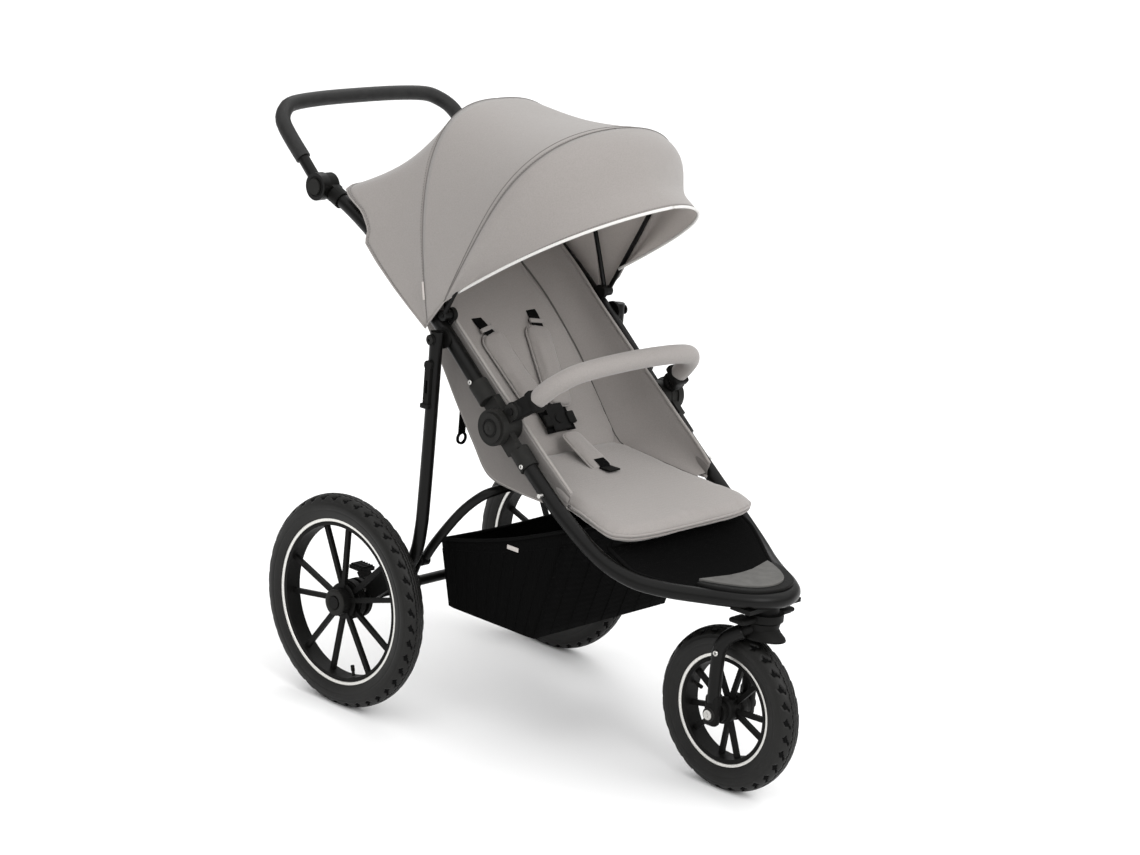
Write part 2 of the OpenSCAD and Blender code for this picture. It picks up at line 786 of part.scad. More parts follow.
// Casting at the foot of a leg: arm, axle stub, brake plate, sockets for the cross tube and the brace
module axle_housing() {
    difference() {
        union() {
            block([0, rear_r], arm_slope, leg_in + 1.5, leg_out - 0.5, -100, 100, 38);
            bar_x([0, rear_r], 22, leg_in + 1, rear_hub_in - 0.6);
            bar_x([0, rear_r], 37, leg_out - 5, housing_out);
            bar_x([0, rear_r], stub_r, rear_hub_in - 1, rear_hub_out - 7);
            bar_x(cross_at, 14, leg_in - 16, leg_in + 6);
            block([0, rear_r], -27, leg_in - 1, leg_in + 5, -122, 90, 26);
            // ear and pin that carry the brace
            bar_x(brace_pivot, 9, leg_in - 6, leg_in - gap);
            bar_x(brace_pivot, 4, leg_in - 20, leg_in - 3);
            block(brace_pivot, -68, leg_in - 5, leg_in - 1, 2, 48, 15);
        }
        bar_x(cross_at, cross_d / 2 + run, leg_in - 17, leg_in - 0.4);
        tube(smooth(leg_path, 4), leg_r + 0.3, [1, 0, 0]);
        bar_x([brake_ring_r * -cos(45), rear_r + brake_ring_r * sin(45)], brake_pin_r + run, leg_in, housing_out + 1);
    }
}

module axle_housing_left() {
    color("black") on_side(1) axle_housing();
}

module axle_housing_right() {
    color("black") on_side(-1) axle_housing();
}

module brake_pin() {
    bar_x([brake_ring_r * -cos(45), rear_r + brake_ring_r * sin(45)], brake_pin_r, leg_in + 8, rear_hub_in - 1);
}

module brake_pin_left() {
    color("silver") on_side(1) brake_pin();
}

module brake_pin_right() {
    color("silver") on_side(-1) brake_pin();
}

// Ribbed pedal on the right leg's casting, with two ears round a boss
module brake_pedal() {
    color([0.1, 0.1, 0.1]) on_side(-1) {
        translate([192, 22, 236]) cube([32, 36, 7]);
        for (k = [0:4]) translate([194, 25 + 7 * k, 242]) cube([28, 3, 4]);
        bar_x(pedal_pivot, 9, 204, leg_in - gap);
        block(pedal_pivot, 48, 204, leg_in - gap - 1, 4, 18, 12);
    }
}

module brace_tube() {
    color("black") placed() difference() {
        union() {
            tube(smooth(whole(brace_half), 4), 9, [0, 0.6, 0.8], 12);
            for (side = [-1, 1]) scale([side, 1, 1]) bar_x(brace_pivot, 11, 206, leg_in - 6 - gap);
        }
        for (side = [-1, 1]) scale([side, 1, 1]) bar_x(brace_pivot, 4 + run, leg_in - 21, leg_in);
    }
}

// Transport latch on the right leg
module latch_lever() {
    color([0.1, 0.1, 0.1]) on_side(-1) difference() {
        union() {
            bar_x(latch_pivot, 9, leg_out + gap, leg_out + 7);
            translate([leg_out + gap, latch_pivot[0] - 7, 606]) cube([6, 14, 76]);
            translate([leg_out + gap, latch_pivot[0] - 9, 602]) cube([8, 20, 8]);
        }
        translate([leg_out, latch_pivot[0] - 2.5, 630]) cube([10, 5, 24]);
    }
}

front_tube();
footplate();
footrest_fabric();
head_housing();
swivel_lock();
fold_lower_left();
fold_lower_right();
bumper_bar();
bumper_button_left();
bumper_button_right();
seat_cushion();
seat_side_left();
seat_side_right();
buckle();
buckle_button();
crotch_pad();
latch_pins();
basket();
fork();
front_axle();
front_tyre();
front_rim();
upper_tube_left();
upper_tube_right();
fold_upper_left();
fold_upper_right();
leg_brackets();
canopy_brackets();
canopy_rear_panel();
mid_bow();
canopy_mid_panel();
front_bow();
canopy_visor();
handle_mounts();
handle_tube();
handle_grip();
handle_button_left();
handle_button_right();
backrest();
shoulder_straps();
shoulder_pads();
pull_strap();
rear_leg_left();
rear_leg_right();
axle_tube();
axle_housing_left();
axle_housing_right();
latch_lever();
brake_pedal();
brake_pin_left();
brake_pin_right();
brace_tube();
rear_tyre_left();
rear_rim_left();
wheel_button_left();
rear_tyre_right();
rear_rim_right();
wheel_button_right();
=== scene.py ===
"""Looks for the three-wheeled jogging stroller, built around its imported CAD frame."""

import json
import math

import bpy
import numpy as np
from mathutils import Matrix, Vector


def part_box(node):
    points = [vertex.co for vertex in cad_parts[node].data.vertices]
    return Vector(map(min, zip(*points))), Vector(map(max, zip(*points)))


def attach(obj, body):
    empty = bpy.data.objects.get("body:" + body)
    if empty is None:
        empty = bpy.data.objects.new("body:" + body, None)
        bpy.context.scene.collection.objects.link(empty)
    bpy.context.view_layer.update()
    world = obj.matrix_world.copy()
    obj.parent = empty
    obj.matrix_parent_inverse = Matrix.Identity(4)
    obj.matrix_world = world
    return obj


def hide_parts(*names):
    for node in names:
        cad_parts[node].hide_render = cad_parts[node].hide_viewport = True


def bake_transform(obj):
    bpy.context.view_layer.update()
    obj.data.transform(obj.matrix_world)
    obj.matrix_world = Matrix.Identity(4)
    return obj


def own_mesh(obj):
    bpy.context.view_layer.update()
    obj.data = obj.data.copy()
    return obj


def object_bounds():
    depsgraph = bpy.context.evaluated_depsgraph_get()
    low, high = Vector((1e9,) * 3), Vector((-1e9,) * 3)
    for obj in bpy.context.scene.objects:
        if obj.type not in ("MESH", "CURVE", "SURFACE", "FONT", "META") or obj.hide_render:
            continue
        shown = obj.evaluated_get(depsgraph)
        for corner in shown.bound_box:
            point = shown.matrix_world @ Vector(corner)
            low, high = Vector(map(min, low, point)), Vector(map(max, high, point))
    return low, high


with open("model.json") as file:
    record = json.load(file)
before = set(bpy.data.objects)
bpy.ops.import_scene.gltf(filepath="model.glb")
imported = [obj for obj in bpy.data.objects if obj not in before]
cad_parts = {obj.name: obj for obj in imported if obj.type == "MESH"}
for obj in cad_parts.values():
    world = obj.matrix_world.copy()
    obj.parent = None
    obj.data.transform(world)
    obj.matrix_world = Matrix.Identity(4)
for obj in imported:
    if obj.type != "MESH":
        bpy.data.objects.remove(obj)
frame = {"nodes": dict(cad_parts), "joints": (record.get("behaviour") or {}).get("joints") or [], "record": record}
cad_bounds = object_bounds()

MM = 0.001
JOINTS = {j["name"]: j for j in frame["joints"]}
NODES = frame["nodes"]
BODY_OF = {node: body for body, nodes in frame["record"]["behaviour"]["bodies"].items() for node in nodes}
X = Vector((1, 0, 0))
SIDES = (("right", -1), ("left", 1))


def joint_at(name):
    """A hinge's centre in the middle plane, as a vector."""
    return Vector(JOINTS[name]["pos_m"])


def from_axle(x, y, z):
    """A point given in millimetres with y measured from the rear axle."""
    return Vector((x * MM, AXLE_Y + y * MM, z * MM))


AXLE_Y = joint_at("rear_wheel_left_spin").y


# Materials ---------------------------------------------------------------


class Look:
    """A node-based material, built from a few named steps."""

    def __init__(self, name, rough=0.5, metal=0.0, **sockets):
        self.material = bpy.data.materials.new(name)
        self.material.use_nodes = True
        self.tree = self.material.node_tree
        self.shader = self.tree.nodes["Principled BSDF"]
        self.shader.inputs["Roughness"].default_value = rough
        self.shader.inputs["Metallic"].default_value = metal
        for socket, value in sockets.items():
            self.shader.inputs[socket.replace("_", " ")].default_value = value
        self.place = self.node("ShaderNodeTexCoord").outputs["Object"]
        self.height = None

    def node(self, kind, **settings):
        n = self.tree.nodes.new(kind)
        for key, value in settings.items():
            setattr(n, key, value)
        return n

    def link(self, a, b):
        self.tree.links.new(a, b)
        return self

    def noise(self, scale, detail=2.0, rough=0.5):
        n = self.node("ShaderNodeTexNoise")
        n.inputs["Scale"].default_value = scale
        n.inputs["Detail"].default_value = detail
        n.inputs["Roughness"].default_value = rough
        self.link(self.place, n.inputs["Vector"])
        return n.outputs["Fac"]

    def wave(self, axis, per_metre):
        """Parallel threads or ribs across an axis, with so many to the metre."""
        n = self.node("ShaderNodeTexWave", bands_direction=axis)
        n.inputs["Scale"].default_value = per_metre * math.pi / 10
        n.inputs["Detail"].default_value = 0
        self.link(self.place, n.inputs["Vector"])
        return n.outputs["Fac"]

    def math(self, operation, a, b):
        n = self.node("ShaderNodeMath", operation=operation)
        for socket, value in zip(n.inputs, (a, b)):
            if isinstance(value, (int, float)):
                socket.default_value = value
            else:
                self.link(value, socket)
        return n.outputs[0]

    def colour(self, factor, stops):
        """Colours the surface by a factor, from (place, (r, g, b)) stops."""
        ramp = self.node("ShaderNodeValToRGB")
        while len(ramp.color_ramp.elements) < len(stops):
            ramp.color_ramp.elements.new(0.5)
        for element, (place, rgb) in zip(ramp.color_ramp.elements, stops):
            element.position = place
            element.color = (*rgb, 1)
        self.link(factor, ramp.inputs["Fac"])
        self.link(ramp.outputs["Color"], self.shader.inputs["Base Color"])
        return self

    def roughness(self, factor, low, high):
        n = self.node("ShaderNodeMapRange")
        n.inputs["To Min"].default_value = low
        n.inputs["To Max"].default_value = high
        self.link(factor, n.inputs["Value"])
        self.link(n.outputs["Result"], self.shader.inputs["Roughness"])
        return self

    def bump(self, height, distance, strength=1.0):
        n = self.node("ShaderNodeBump")
        n.inputs["Distance"].default_value = distance
        n.inputs["Strength"].default_value = strength
        self.link(height, n.inputs["Height"])
        if self.height is not None:
            self.link(self.height, n.inputs["Normal"])
        self.height = n.outputs["Normal"]
        self.link(self.height, self.shader.inputs["Normal"])
        return self


def shades(rgb, *factors):
    """Evenly spaced ramp stops: one colour in several strengths."""
    last = len(factors) - 1
    return [(0.3 + 0.4 * i / last, tuple(c * f for c in rgb)) for i, f in enumerate(factors)]


GREY = (0.246, 0.228, 0.216)
# Painted light: the lining is the grey cloth brightened to paint the light that shines through the canopy
LINING_GREY_PAINTED_LIGHT = (0.5, 0.465, 0.44)
# Painted shade: the seat sides' outer shell is the same grey cloth, darkened to paint the shade on it
SHELL_GREY_PAINTED_SHADE = (0.15, 0.139, 0.131)
BLACK = (0.0022, 0.0021, 0.0019)


def woven(name, rgb, threads=900, sheen=0.25, rough=0.86):
    """Plain woven polyester: crossing threads, a slight melange and soft creases."""
    look = Look(name, rough, Sheen_Weight=sheen, Sheen_Roughness=0.5)
    threads_xy = look.math("MULTIPLY", look.wave("X", threads), look.wave("Z", threads))
    weave = look.math("ADD", threads_xy, look.math("MULTIPLY", look.wave("Y", threads), 0.6))
    look.colour(look.noise(420, 3, 0.6), shades(rgb, 0.93, 1.0, 1.06))
    look.roughness(look.noise(60, 2), rough - 0.06, rough + 0.06)
    look.bump(weave, 0.00018, 0.5)
    look.bump(look.noise(26, 3, 0.55), 0.0012, 0.35)
    return look.material


def ribbed(name, rgb, ribs, rough=0.9):
    """Knitted mesh or webbing with upright ribs."""
    look = Look(name, rough, Specular_IOR_Level=0.04)
    rib = look.math("ADD", look.wave("X", ribs), look.wave("Y", ribs))
    look.colour(look.noise(300, 3), shades(rgb, 0.8, 1.0, 1.25))
    look.bump(rib, 0.0006, 0.6)
    look.bump(look.noise(900, 2), 0.0002, 0.5)
    return look.material


def coated(name, rgb, rough=0.36):
    """Satin powder coat on steel or aluminium tube, with its fine orange peel."""
    look = Look(name, rough, Specular_IOR_Level=0.16)
    look.colour(look.noise(35, 3), shades(rgb, 0.85, 1.0, 1.15))
    look.roughness(look.noise(90, 3), rough - 0.05, rough + 0.07)
    look.bump(look.noise(1400, 2), 0.00012, 0.35)
    return look.material


def moulded(name, rgb, rough=0.55, grain=1800):
    """Spark-eroded moulded plastic."""
    look = Look(name, rough, Specular_IOR_Level=0.1)
    look.colour(look.noise(50, 3), shades(rgb, 0.88, 1.0, 1.12))
    look.roughness(look.noise(140, 3), rough - 0.07, rough + 0.08)
    look.bump(look.noise(grain, 3, 0.7), 0.00016, 0.5)
    return look.material


def rubber():
    look = Look("tyre_rubber", 0.5, Specular_IOR_Level=0.24)
    look.colour(look.noise(70, 4, 0.6), shades((0.0065, 0.0063, 0.0057), 0.85, 1.0, 1.2))
    look.roughness(look.noise(30, 3), 0.4, 0.58)
    look.bump(look.noise(700, 3), 0.0002, 0.5)
    return look.material


def leatherette():
    look = Look("grip_leatherette", 0.5, Specular_IOR_Level=0.22)
    cells = look.node("ShaderNodeTexVoronoi", feature="DISTANCE_TO_EDGE")
    cells.inputs["Scale"].default_value = 620
    look.link(look.place, cells.inputs["Vector"])
    look.colour(look.noise(60, 3), shades((0.014, 0.0138, 0.0135), 0.8, 1.0, 1.2))
    look.bump(cells.outputs["Distance"], 0.0008, 0.5)
    return look.material


def metal(name, rgb, rough, brush=300):
    look = Look(name, rough, 1.0)
    look.colour(look.noise(brush, 2), shades(rgb, 0.9, 1.0, 1.06))
    look.roughness(look.noise(200, 2), rough - 0.06, rough + 0.08)
    return look.material


def piping_cloth():
    look = Look("pale_piping", 0.6, Sheen_Weight=0.2)
    look.colour(look.noise(500, 3), shades((0.62, 0.61, 0.59), 0.92, 1.0, 1.05))
    look.bump(look.noise(1200, 2), 0.0002, 0.4)
    return look.material


MATERIALS = {
    "grey_fabric": woven("grey_woven_fabric", GREY),
    "lining_painted_light": woven("grey_lining_painted_light", LINING_GREY_PAINTED_LIGHT, sheen=0.1),
    "shell_painted_shade": woven("grey_outer_shell_painted_shade", SHELL_GREY_PAINTED_SHADE, sheen=0.1),
    "soft_seam": woven("grey_seam", tuple(0.55 * c for c in GREY), sheen=0.05),
    # Painted shade: a dark seam colour that paints the shadow in a seam's groove
    "seam": woven("grey_seam_shadow", tuple(0.3 * c for c in GREY), sheen=0.05),
    "black_fabric": ribbed("black_ribbed_fabric", (0.0022, 0.0022, 0.0022), 260),
    "webbing": ribbed("black_webbing", (0.004, 0.004, 0.004), 700),
    "black_tube": coated("satin_black_tube", BLACK),
    "black_plastic": moulded("black_moulded_plastic", (0.0045, 0.0044, 0.0041)),
    "dark_plastic": moulded("dark_grey_moulded_plastic", (0.014, 0.0138, 0.0128), 0.5),
    "grey_plastic": moulded("footplate_plastic", (0.105, 0.103, 0.098), 0.6),
    "tyre": rubber(),
    "grip": leatherette(),
    "steel": metal("zinc_plated_steel", (0.55, 0.54, 0.52), 0.35),
    # Painted shade: darker rubber in the tread's deep grooves, where shade falls
    "tyre_groove_painted_shade": moulded("tyre_groove_painted_shade", (0.002, 0.002, 0.002), 0.8),
    "rim_line": metal("bright_rim_line", (0.72, 0.71, 0.68), 0.42),
    "piping": piping_cloth(),
}


# Mesh building -----------------------------------------------------------


def mesh_object(name, points, faces, material):
    """A smooth-shaded mesh in the scene, its points in metres."""
    mesh = bpy.data.meshes.new(name)
    mesh.from_pydata([tuple(p) for p in points], [], faces)
    mesh.validate()
    mesh.update()
    mesh.polygons.foreach_set("use_smooth", [True] * len(mesh.polygons))
    obj = bpy.data.objects.new(name, mesh)
    bpy.context.scene.collection.objects.link(obj)
    obj.data.materials.append(MATERIALS[material])
    return obj


def grid_faces(rows, columns, close_rows=False, close_columns=False, start=0):
    faces = []
    for i in range(rows if close_rows else rows - 1):
        for k in range(columns if close_columns else columns - 1):
            a, b = i * columns + k, i * columns + (k + 1) % columns
            c, d = (i + 1) % rows * columns + (k + 1) % columns, (i + 1) % rows * columns + k
            faces.append((start + a, start + b, start + c, start + d))
    return faces


def end_caps(rows, sides):
    """The two faces that close the ends of a stack of rings."""
    last = (rows - 1) * sides
    return [tuple(range(sides))[::-1], tuple(range(last, last + sides))]


def smooth_path(points, steps):
    """A Catmull-Rom curve through the points."""
    pts = [np.array(p, float) for p in points]
    out = []
    for i in range(len(pts) - 1):
        a, b, c, d = pts[max(i - 1, 0)], pts[i], pts[i + 1], pts[min(i + 2, len(pts) - 1)]
        for k in range(steps):
            t = k / steps
            bend, twist = 2 * a - 5 * b + 4 * c - d, 3 * b - a - 3 * c + d
            out.append(Vector(0.5 * (2 * b + (c - a) * t + bend * t**2 + twist * t**3)))
    return out + [Vector(pts[-1])]


def frames_along(path, up):
    """Across and upward directions at each point of a path."""
    out = []
    for i in range(len(path)):
        t = (path[min(i + 1, len(path) - 1)] - path[max(i - 1, 0)]).normalized()
        side = up.cross(t).normalized()
        out.append((side, t.cross(side)))
    return out


def tube(name, path, radius, material, up=(0, 0, 1), sides=24, flat=1.0, closed=False):
    """A round or, with flat below 1, oval tube. Its radius in millimetres may be a list along the path."""
    path = [Vector(p) for p in path]
    radii = radius if hasattr(radius, "__len__") else [radius] * len(path)
    points = []
    for p, r, (u, v) in zip(path, radii, frames_along(path, Vector(up))):
        for k in range(sides):
            a = 2 * math.pi * k / sides
            points.append(p + r * MM * (math.cos(a) * u + flat * math.sin(a) * v))
    faces = grid_faces(len(path), sides, close_rows=closed, close_columns=True)
    if not closed:
        faces += end_caps(len(path), sides)
    return mesh_object(name, points, faces, material)


def thickened(obj, thickness, offset=-1):
    """Gives a surface a thickness in millimetres, with offset -1 on the side away from its normals."""
    solid = obj.modifiers.new("thickness", "SOLIDIFY")
    solid.thickness = thickness * MM
    solid.offset = offset
    return solid


def sheet_mesh(name, rows, thickness, material, lining=None):
    """A sheet of cloth from rows of points, with another look on its inside where a lining is given."""
    obj = mesh_object(name, [p for row in rows for p in row], grid_faces(len(rows), len(rows[0])), material)
    solid = thickened(obj, thickness)
    if lining:
        obj.data.materials.append(MATERIALS[lining])
        solid.material_offset = 1
        solid.material_offset_rim = 0
    return obj


def revolved(name, profile, centre, material, sign=1, steps=96):
    """A closed profile of (radius, offset) in millimetres, turned about X. sign -1 mirrors its offsets."""
    points = []
    for i in range(steps):
        a = 2 * math.pi * i / steps
        for r, x in profile:
            points.append(centre + Vector((sign * x * MM, r * MM * math.cos(a), r * MM * math.sin(a))))
    faces = grid_faces(steps, len(profile), close_rows=True, close_columns=True)
    return mesh_object(name, points, faces, material)


def softened(obj, width, segments, angle):
    """Rounds an object's sharp edges by a width in millimetres."""
    bevel = obj.modifiers.new("edge_round", "BEVEL")
    bevel.width = width * MM
    bevel.segments = segments
    bevel.limit_method = "ANGLE"
    bevel.angle_limit = math.radians(angle)
    return obj


def rounded_box(name, size, centre, material, edge, turn=Matrix.Identity(3)):
    """A block with rounded edges, both in millimetres, turned by a matrix about its centre."""
    x, y, z = (side * MM / 2 for side in size)
    corners = [Vector((sx * x, sy * y, sz * z)) for sx in (-1, 1) for sy in (-1, 1) for sz in (-1, 1)]
    faces = [(0, 1, 3, 2), (4, 6, 7, 5), (0, 4, 5, 1), (2, 3, 7, 6), (0, 2, 6, 4), (1, 5, 7, 3)]
    obj = mesh_object(name, [turn @ c + centre for c in corners], faces, material)
    return softened(obj, edge, 3, 30)


def apply_modifiers(obj):
    graph = bpy.context.evaluated_depsgraph_get()
    baked = bpy.data.meshes.new_from_object(obj.evaluated_get(graph))
    obj.modifiers.clear()
    obj.data = baked
    return obj


def joined(name, parts):
    """One object from several that share a body."""
    for part in parts:
        apply_modifiers(part)
    with bpy.context.temp_override(active_object=parts[0], selected_editable_objects=parts):
        bpy.ops.object.join()
    parts[0].name = name
    return parts[0]


def subdivided(obj):
    finer = obj.modifiers.new("finer", "SUBSURF")
    finer.render_levels = finer.levels = 1


def ride_all(body, *pieces):
    for piece in pieces:
        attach(piece, body)


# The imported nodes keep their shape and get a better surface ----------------


def smooth_shading():
    """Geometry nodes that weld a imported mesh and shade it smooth, except across sharp edges."""
    group = bpy.data.node_groups.new("smooth_by_angle", "GeometryNodeTree")
    group.interface.new_socket("Geometry", in_out="INPUT", socket_type="NodeSocketGeometry")
    group.interface.new_socket("Geometry", in_out="OUTPUT", socket_type="NodeSocketGeometry")
    start, end = group.nodes.new("NodeGroupInput"), group.nodes.new("NodeGroupOutput")
    weld = group.nodes.new("GeometryNodeMergeByDistance")
    weld.inputs["Distance"].default_value = 1e-5
    angle = group.nodes.new("GeometryNodeInputMeshEdgeAngle")
    sharp = group.nodes.new("FunctionNodeCompare")
    sharp.data_type = "FLOAT"
    sharp.inputs["B"].default_value = math.radians(32)
    faces = group.nodes.new("GeometryNodeSetShadeSmooth")
    edges = group.nodes.new("GeometryNodeSetShadeSmooth")
    edges.domain = "EDGE"
    edges.inputs["Shade Smooth"].default_value = False
    for a, b in (
        (start.outputs[0], weld.inputs[0]),
        (weld.outputs[0], faces.inputs[0]),
        (faces.outputs[0], edges.inputs[0]),
        (edges.outputs[0], end.inputs[0]),
        (angle.outputs["Unsigned Angle"], sharp.inputs["A"]),
        (sharp.outputs["Result"], edges.inputs["Selection"]),
    ):
        group.links.new(a, b)
    return group


SMOOTH = smooth_shading()
DARK_NODES = ("fold_lower", "fold_upper", "handle_button")


def dress_nodes():
    for part in frame["record"]["subparts"]:
        obj = NODES[part["node"]]
        look = "dark_plastic" if part["node"].startswith(DARK_NODES) else part["material_slot"]
        obj.data.materials.clear()
        obj.data.materials.append(MATERIALS[look])
        obj.modifiers.new("smooth", "NODES").node_group = SMOOTH


dress_nodes()


# Shapes for cloth and pads ---------------------------------------------------


def even_spacing(points, count):
    """The same curve with its points the same distance apart."""
    p = np.array([tuple(q) for q in points], float)
    d = np.concatenate([[0], np.cumsum(np.linalg.norm(np.diff(p, axis=0), axis=1))])
    s = np.linspace(0, d[-1], count)
    return np.stack([np.interp(s, d, p[:, i]) for i in range(3)], 1)


def mirrored(points):
    return [(-x, y, z) for x, y, z in points]


def length_of(line):
    return sum((Vector(b) - Vector(a)).length for a, b in zip(line, line[1:]))


def declare_sheet(obj, rows):
    """Works out a sheet's width and length from its own middle lines and its area before it has a thickness, and
    does nothing more with them.
    """
    width = length_of(rows[len(rows) // 2])
    length = length_of([row[len(row) // 2] for row in rows])
    area = sum(face.area for face in obj.data.polygons)
    length *= max(1.0, 1.002 * area / (width * length))


def loft_pad(name, stations, ring, square):
    """A closed pad lofted through stations of (centre, half width, half thickness, up, across)."""
    points = []
    for centre, half_w, half_t, up, across in stations:
        for k in range(ring):
            a = 2 * math.pi * k / ring
            c, s = math.cos(a), math.sin(a)
            out = across * half_w * math.copysign(abs(c) ** square, c)
            points.append(centre + out + up * half_t * math.copysign(abs(s) ** square, s))
    faces = grid_faces(len(stations), ring, close_columns=True) + end_caps(len(stations), ring)
    return mesh_object(name, points, faces, "grey_fabric")


CLOTH_FRAMES = 20


def inflated(obj, cap, voxel=5, pressure=4.0):
    """Swells a closed pad with a short cloth simulation, by a cap in millimetres, and smooths it."""
    remesh = obj.modifiers.new("voxels", "REMESH")
    remesh.mode = "VOXEL"
    remesh.voxel_size = voxel * MM
    remesh.use_smooth_shade = True
    apply_modifiers(obj)
    rest = np.array([v.co for v in obj.data.vertices])
    settings = obj.modifiers.new("cloth", "CLOTH").settings
    settings.use_pressure = True
    settings.uniform_pressure_force = pressure
    settings.effector_weights.gravity = 0
    settings.quality = 5
    for number in range(CLOTH_FRAMES):
        bpy.context.scene.frame_set(number + 1)
    graph = bpy.context.evaluated_depsgraph_get()
    moved = np.array([v.co for v in obj.evaluated_get(graph).data.vertices]) - rest
    obj.modifiers.clear()
    far = np.linalg.norm(moved, axis=1, keepdims=True)
    moved *= np.minimum(1, cap * MM / np.maximum(far, 1e-9))
    obj.data.vertices.foreach_set("co", (rest + moved).ravel())
    bpy.context.scene.frame_set(1)
    smooth = obj.modifiers.new("smooth", "SMOOTH")
    smooth.iterations = 6
    smooth.factor = 0.5
    subdivided(obj)
    apply_modifiers(obj)
    obj.data.polygons.foreach_set("use_smooth", [True] * len(obj.data.polygons))
    obj.data.materials.clear()
    obj.data.materials.append(MATERIALS["grey_fabric"])
    return obj


def on_surface(obj, line, lift):
    """The line's points moved onto the nearest place of a mesh and lifted off it."""
    out = []
    for p in line:
        found, at, normal, _ = obj.closest_point_on_mesh(Vector(p))
        out.append(at + normal * lift if found else Vector(p))
    return out


STITCH = 3.4 * MM
STITCH_GAP = 1.8 * MM
THREAD_RADIUS = 0.45 * MM


def stitches(name, line, material="soft_seam", up=(1, 0, 0)):
    """A row of short stitches along a line, each a spindle with thin ends."""
    count = max(2, int(length_of(line) / (STITCH + STITCH_GAP)))
    fine = even_spacing(line, count * 3 + 1)
    points, faces = [], []
    for i in range(count):
        a, b = Vector(fine[3 * i]), Vector(fine[3 * i + 2])
        along = (b - a).normalized()
        side = Vector(up).cross(along).normalized()
        over = along.cross(side)
        faces += grid_faces(4, 5, close_columns=True, start=len(points))
        for share, r in ((0, 0.4), (0.25, 1), (0.75, 1), (1, 0.4)):
            for k in range(5):
                t = 2 * math.pi * k / 5
                out = THREAD_RADIUS * r * (math.cos(t) * side + math.sin(t) * over)
                points.append(a + (b - a) * share + out)
    return mesh_object(name, points, faces, material)


# Canopy ----------------------------------------------------------------------

PIVOT = joint_at("canopy_mid_fold")
CANOPY_COLUMNS = 97
CANOPY_CLOTH = 1.4
ACROSS = (1, 0, 0.01)  # nearly X, for tubes that cross the stroller
HEM_UP = (0.3, 1, 0.2)
TAG_COLUMN = 4


def arch(side, crown, half_width, powers):
    """A rounded arch of points from the right foot over the crown to the left foot."""
    side, crown = np.array(side, float), np.array(crown, float)
    out = []
    for a in np.linspace(math.pi, 0, 4 * CANOPY_COLUMNS):
        c, s = math.cos(a), math.sin(a)
        y, z = side + (crown - side) * max(s, 0) ** (2 / powers[1])
        out.append((half_width * math.copysign(abs(c) ** (2 / powers[0]), c), y, z))
    return even_spacing(out, CANOPY_COLUMNS)


# Lines across the canopy as side, crown, half width and powers, in millimetres from the rear axle
MID_BOW = arch((-112, 746), (-28, 1129), 229, (2.7, 2.9))
FRONT_BOW = arch((-153, 797), (-327, 1124), 232, (2.1, 5))
VISOR_EDGE = arch((-168, 815), (-476, 1010), 212, (1.6, 3))
# The rear hem follows the rail up to a notch where the rail comes out, then crosses behind
HEM_SIDE = [
    (-229, -108, 738), (-229, -60, 768), (-229, -18, 796), (-229, 30, 832), (-228.5, 64, 862),
    (-228, 58, 886), (-228, 78, 916), (-227, 118, 938), (-218, 134, 947), (-196, 140, 952),
]
HEM_BACK = [(-100, 142, 958), (0, 142, 960), (100, 142, 958)]
HEM = even_spacing(HEM_SIDE + HEM_BACK + mirrored(HEM_SIDE)[::-1], CANOPY_COLUMNS)


def off_pivot(point, distance):
    """A point of the canopy moved away from the pivot's line, by a distance in metres."""
    away = Vector(point) - Vector((0, PIVOT.y, PIVOT.z))
    away.x *= 0.8
    return Vector(point) + away.normalized() * distance


def field(start, end, rows, lift):
    """Rows of points between two lines of the canopy. lift(v, c) gives how far, in millimetres, the
    cloth stands off the straight way at share v between them and place c, from -1 to 1, across it."""
    out = []
    for i in range(rows):
        v = i / (rows - 1)
        row = []
        for k, (p, q) in enumerate(zip(start, end)):
            c = 2 * k / (len(start) - 1) - 1
            row.append(off_pivot(from_axle(*(p + (q - p) * v)), lift(v, c) * MM))
        out.append(row)
    return out


def sagging(crown, side):
    """Cloth between two bows, in at the crown and out or in at the sides."""
    def lift(v, c):
        at_side = side * min(1, (1 - abs(c)) / 0.1)
        return math.sin(math.pi * v) * (at_side + (crown - side) * (1 - c * c) ** 1.5)
    return lift


def visor_lift(v, c):
    """The visor swells over its bow, then dips before the stiff edge."""
    swell = 11 * math.exp(-(((v - 0.24) / 0.2) ** 2)) * min(1, v / 0.08)
    dip = -10 * math.exp(-(((v - 0.7) / 0.2) ** 2)) * min(1, (1 - v) / 0.1)
    return (swell + dip) * (1 - 0.4 * c * c) * min(1, (1 - abs(c)) / 0.15)


REAR_FIELD = field(HEM, MID_BOW, 16, sagging(-13, -3))
MID_FIELD = field(MID_BOW, FRONT_BOW, 20, sagging(-11, 3))
VISOR_FIELD = field(FRONT_BOW, VISOR_EDGE, 18, visor_lift)


def bow_direction(crown):
    away = from_axle(*crown) - PIVOT
    away.x = 0
    return away.normalized()


def blend_between(obj, line_a, line_b):
    """Works out the directions from the pivot to the crowns of two lines that fan out from it, and bakes the
    piece's placement into its mesh; the piece is not bent.
    """
    crown = len(line_a) // 2
    u, v = bow_direction(line_a[crown]), bow_direction(line_b[crown])
    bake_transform(obj)


def canopy_sheet(name, rows, node):
    # the cloth's inside takes the lining colour, brightened as painted light through the cloth
    cloth = sheet_mesh(name, rows[::-1], CANOPY_CLOTH, "grey_fabric", "lining_painted_light")
    declare_sheet(cloth, rows)
    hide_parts(node)
    return cloth


def raised(line, lift):
    return [off_pivot(p, lift * MM) for p in line]


def beside(edge, inner, share, lift):
    """A line on the cloth, at a share of the way from one row of its field to the next."""
    return raised([a.lerp(b, share) for a, b in zip(edge, inner)], lift)


def seam_line(name, line, radius):
    return tube(name, line, radius, "soft_seam", up=ACROSS, sides=8)


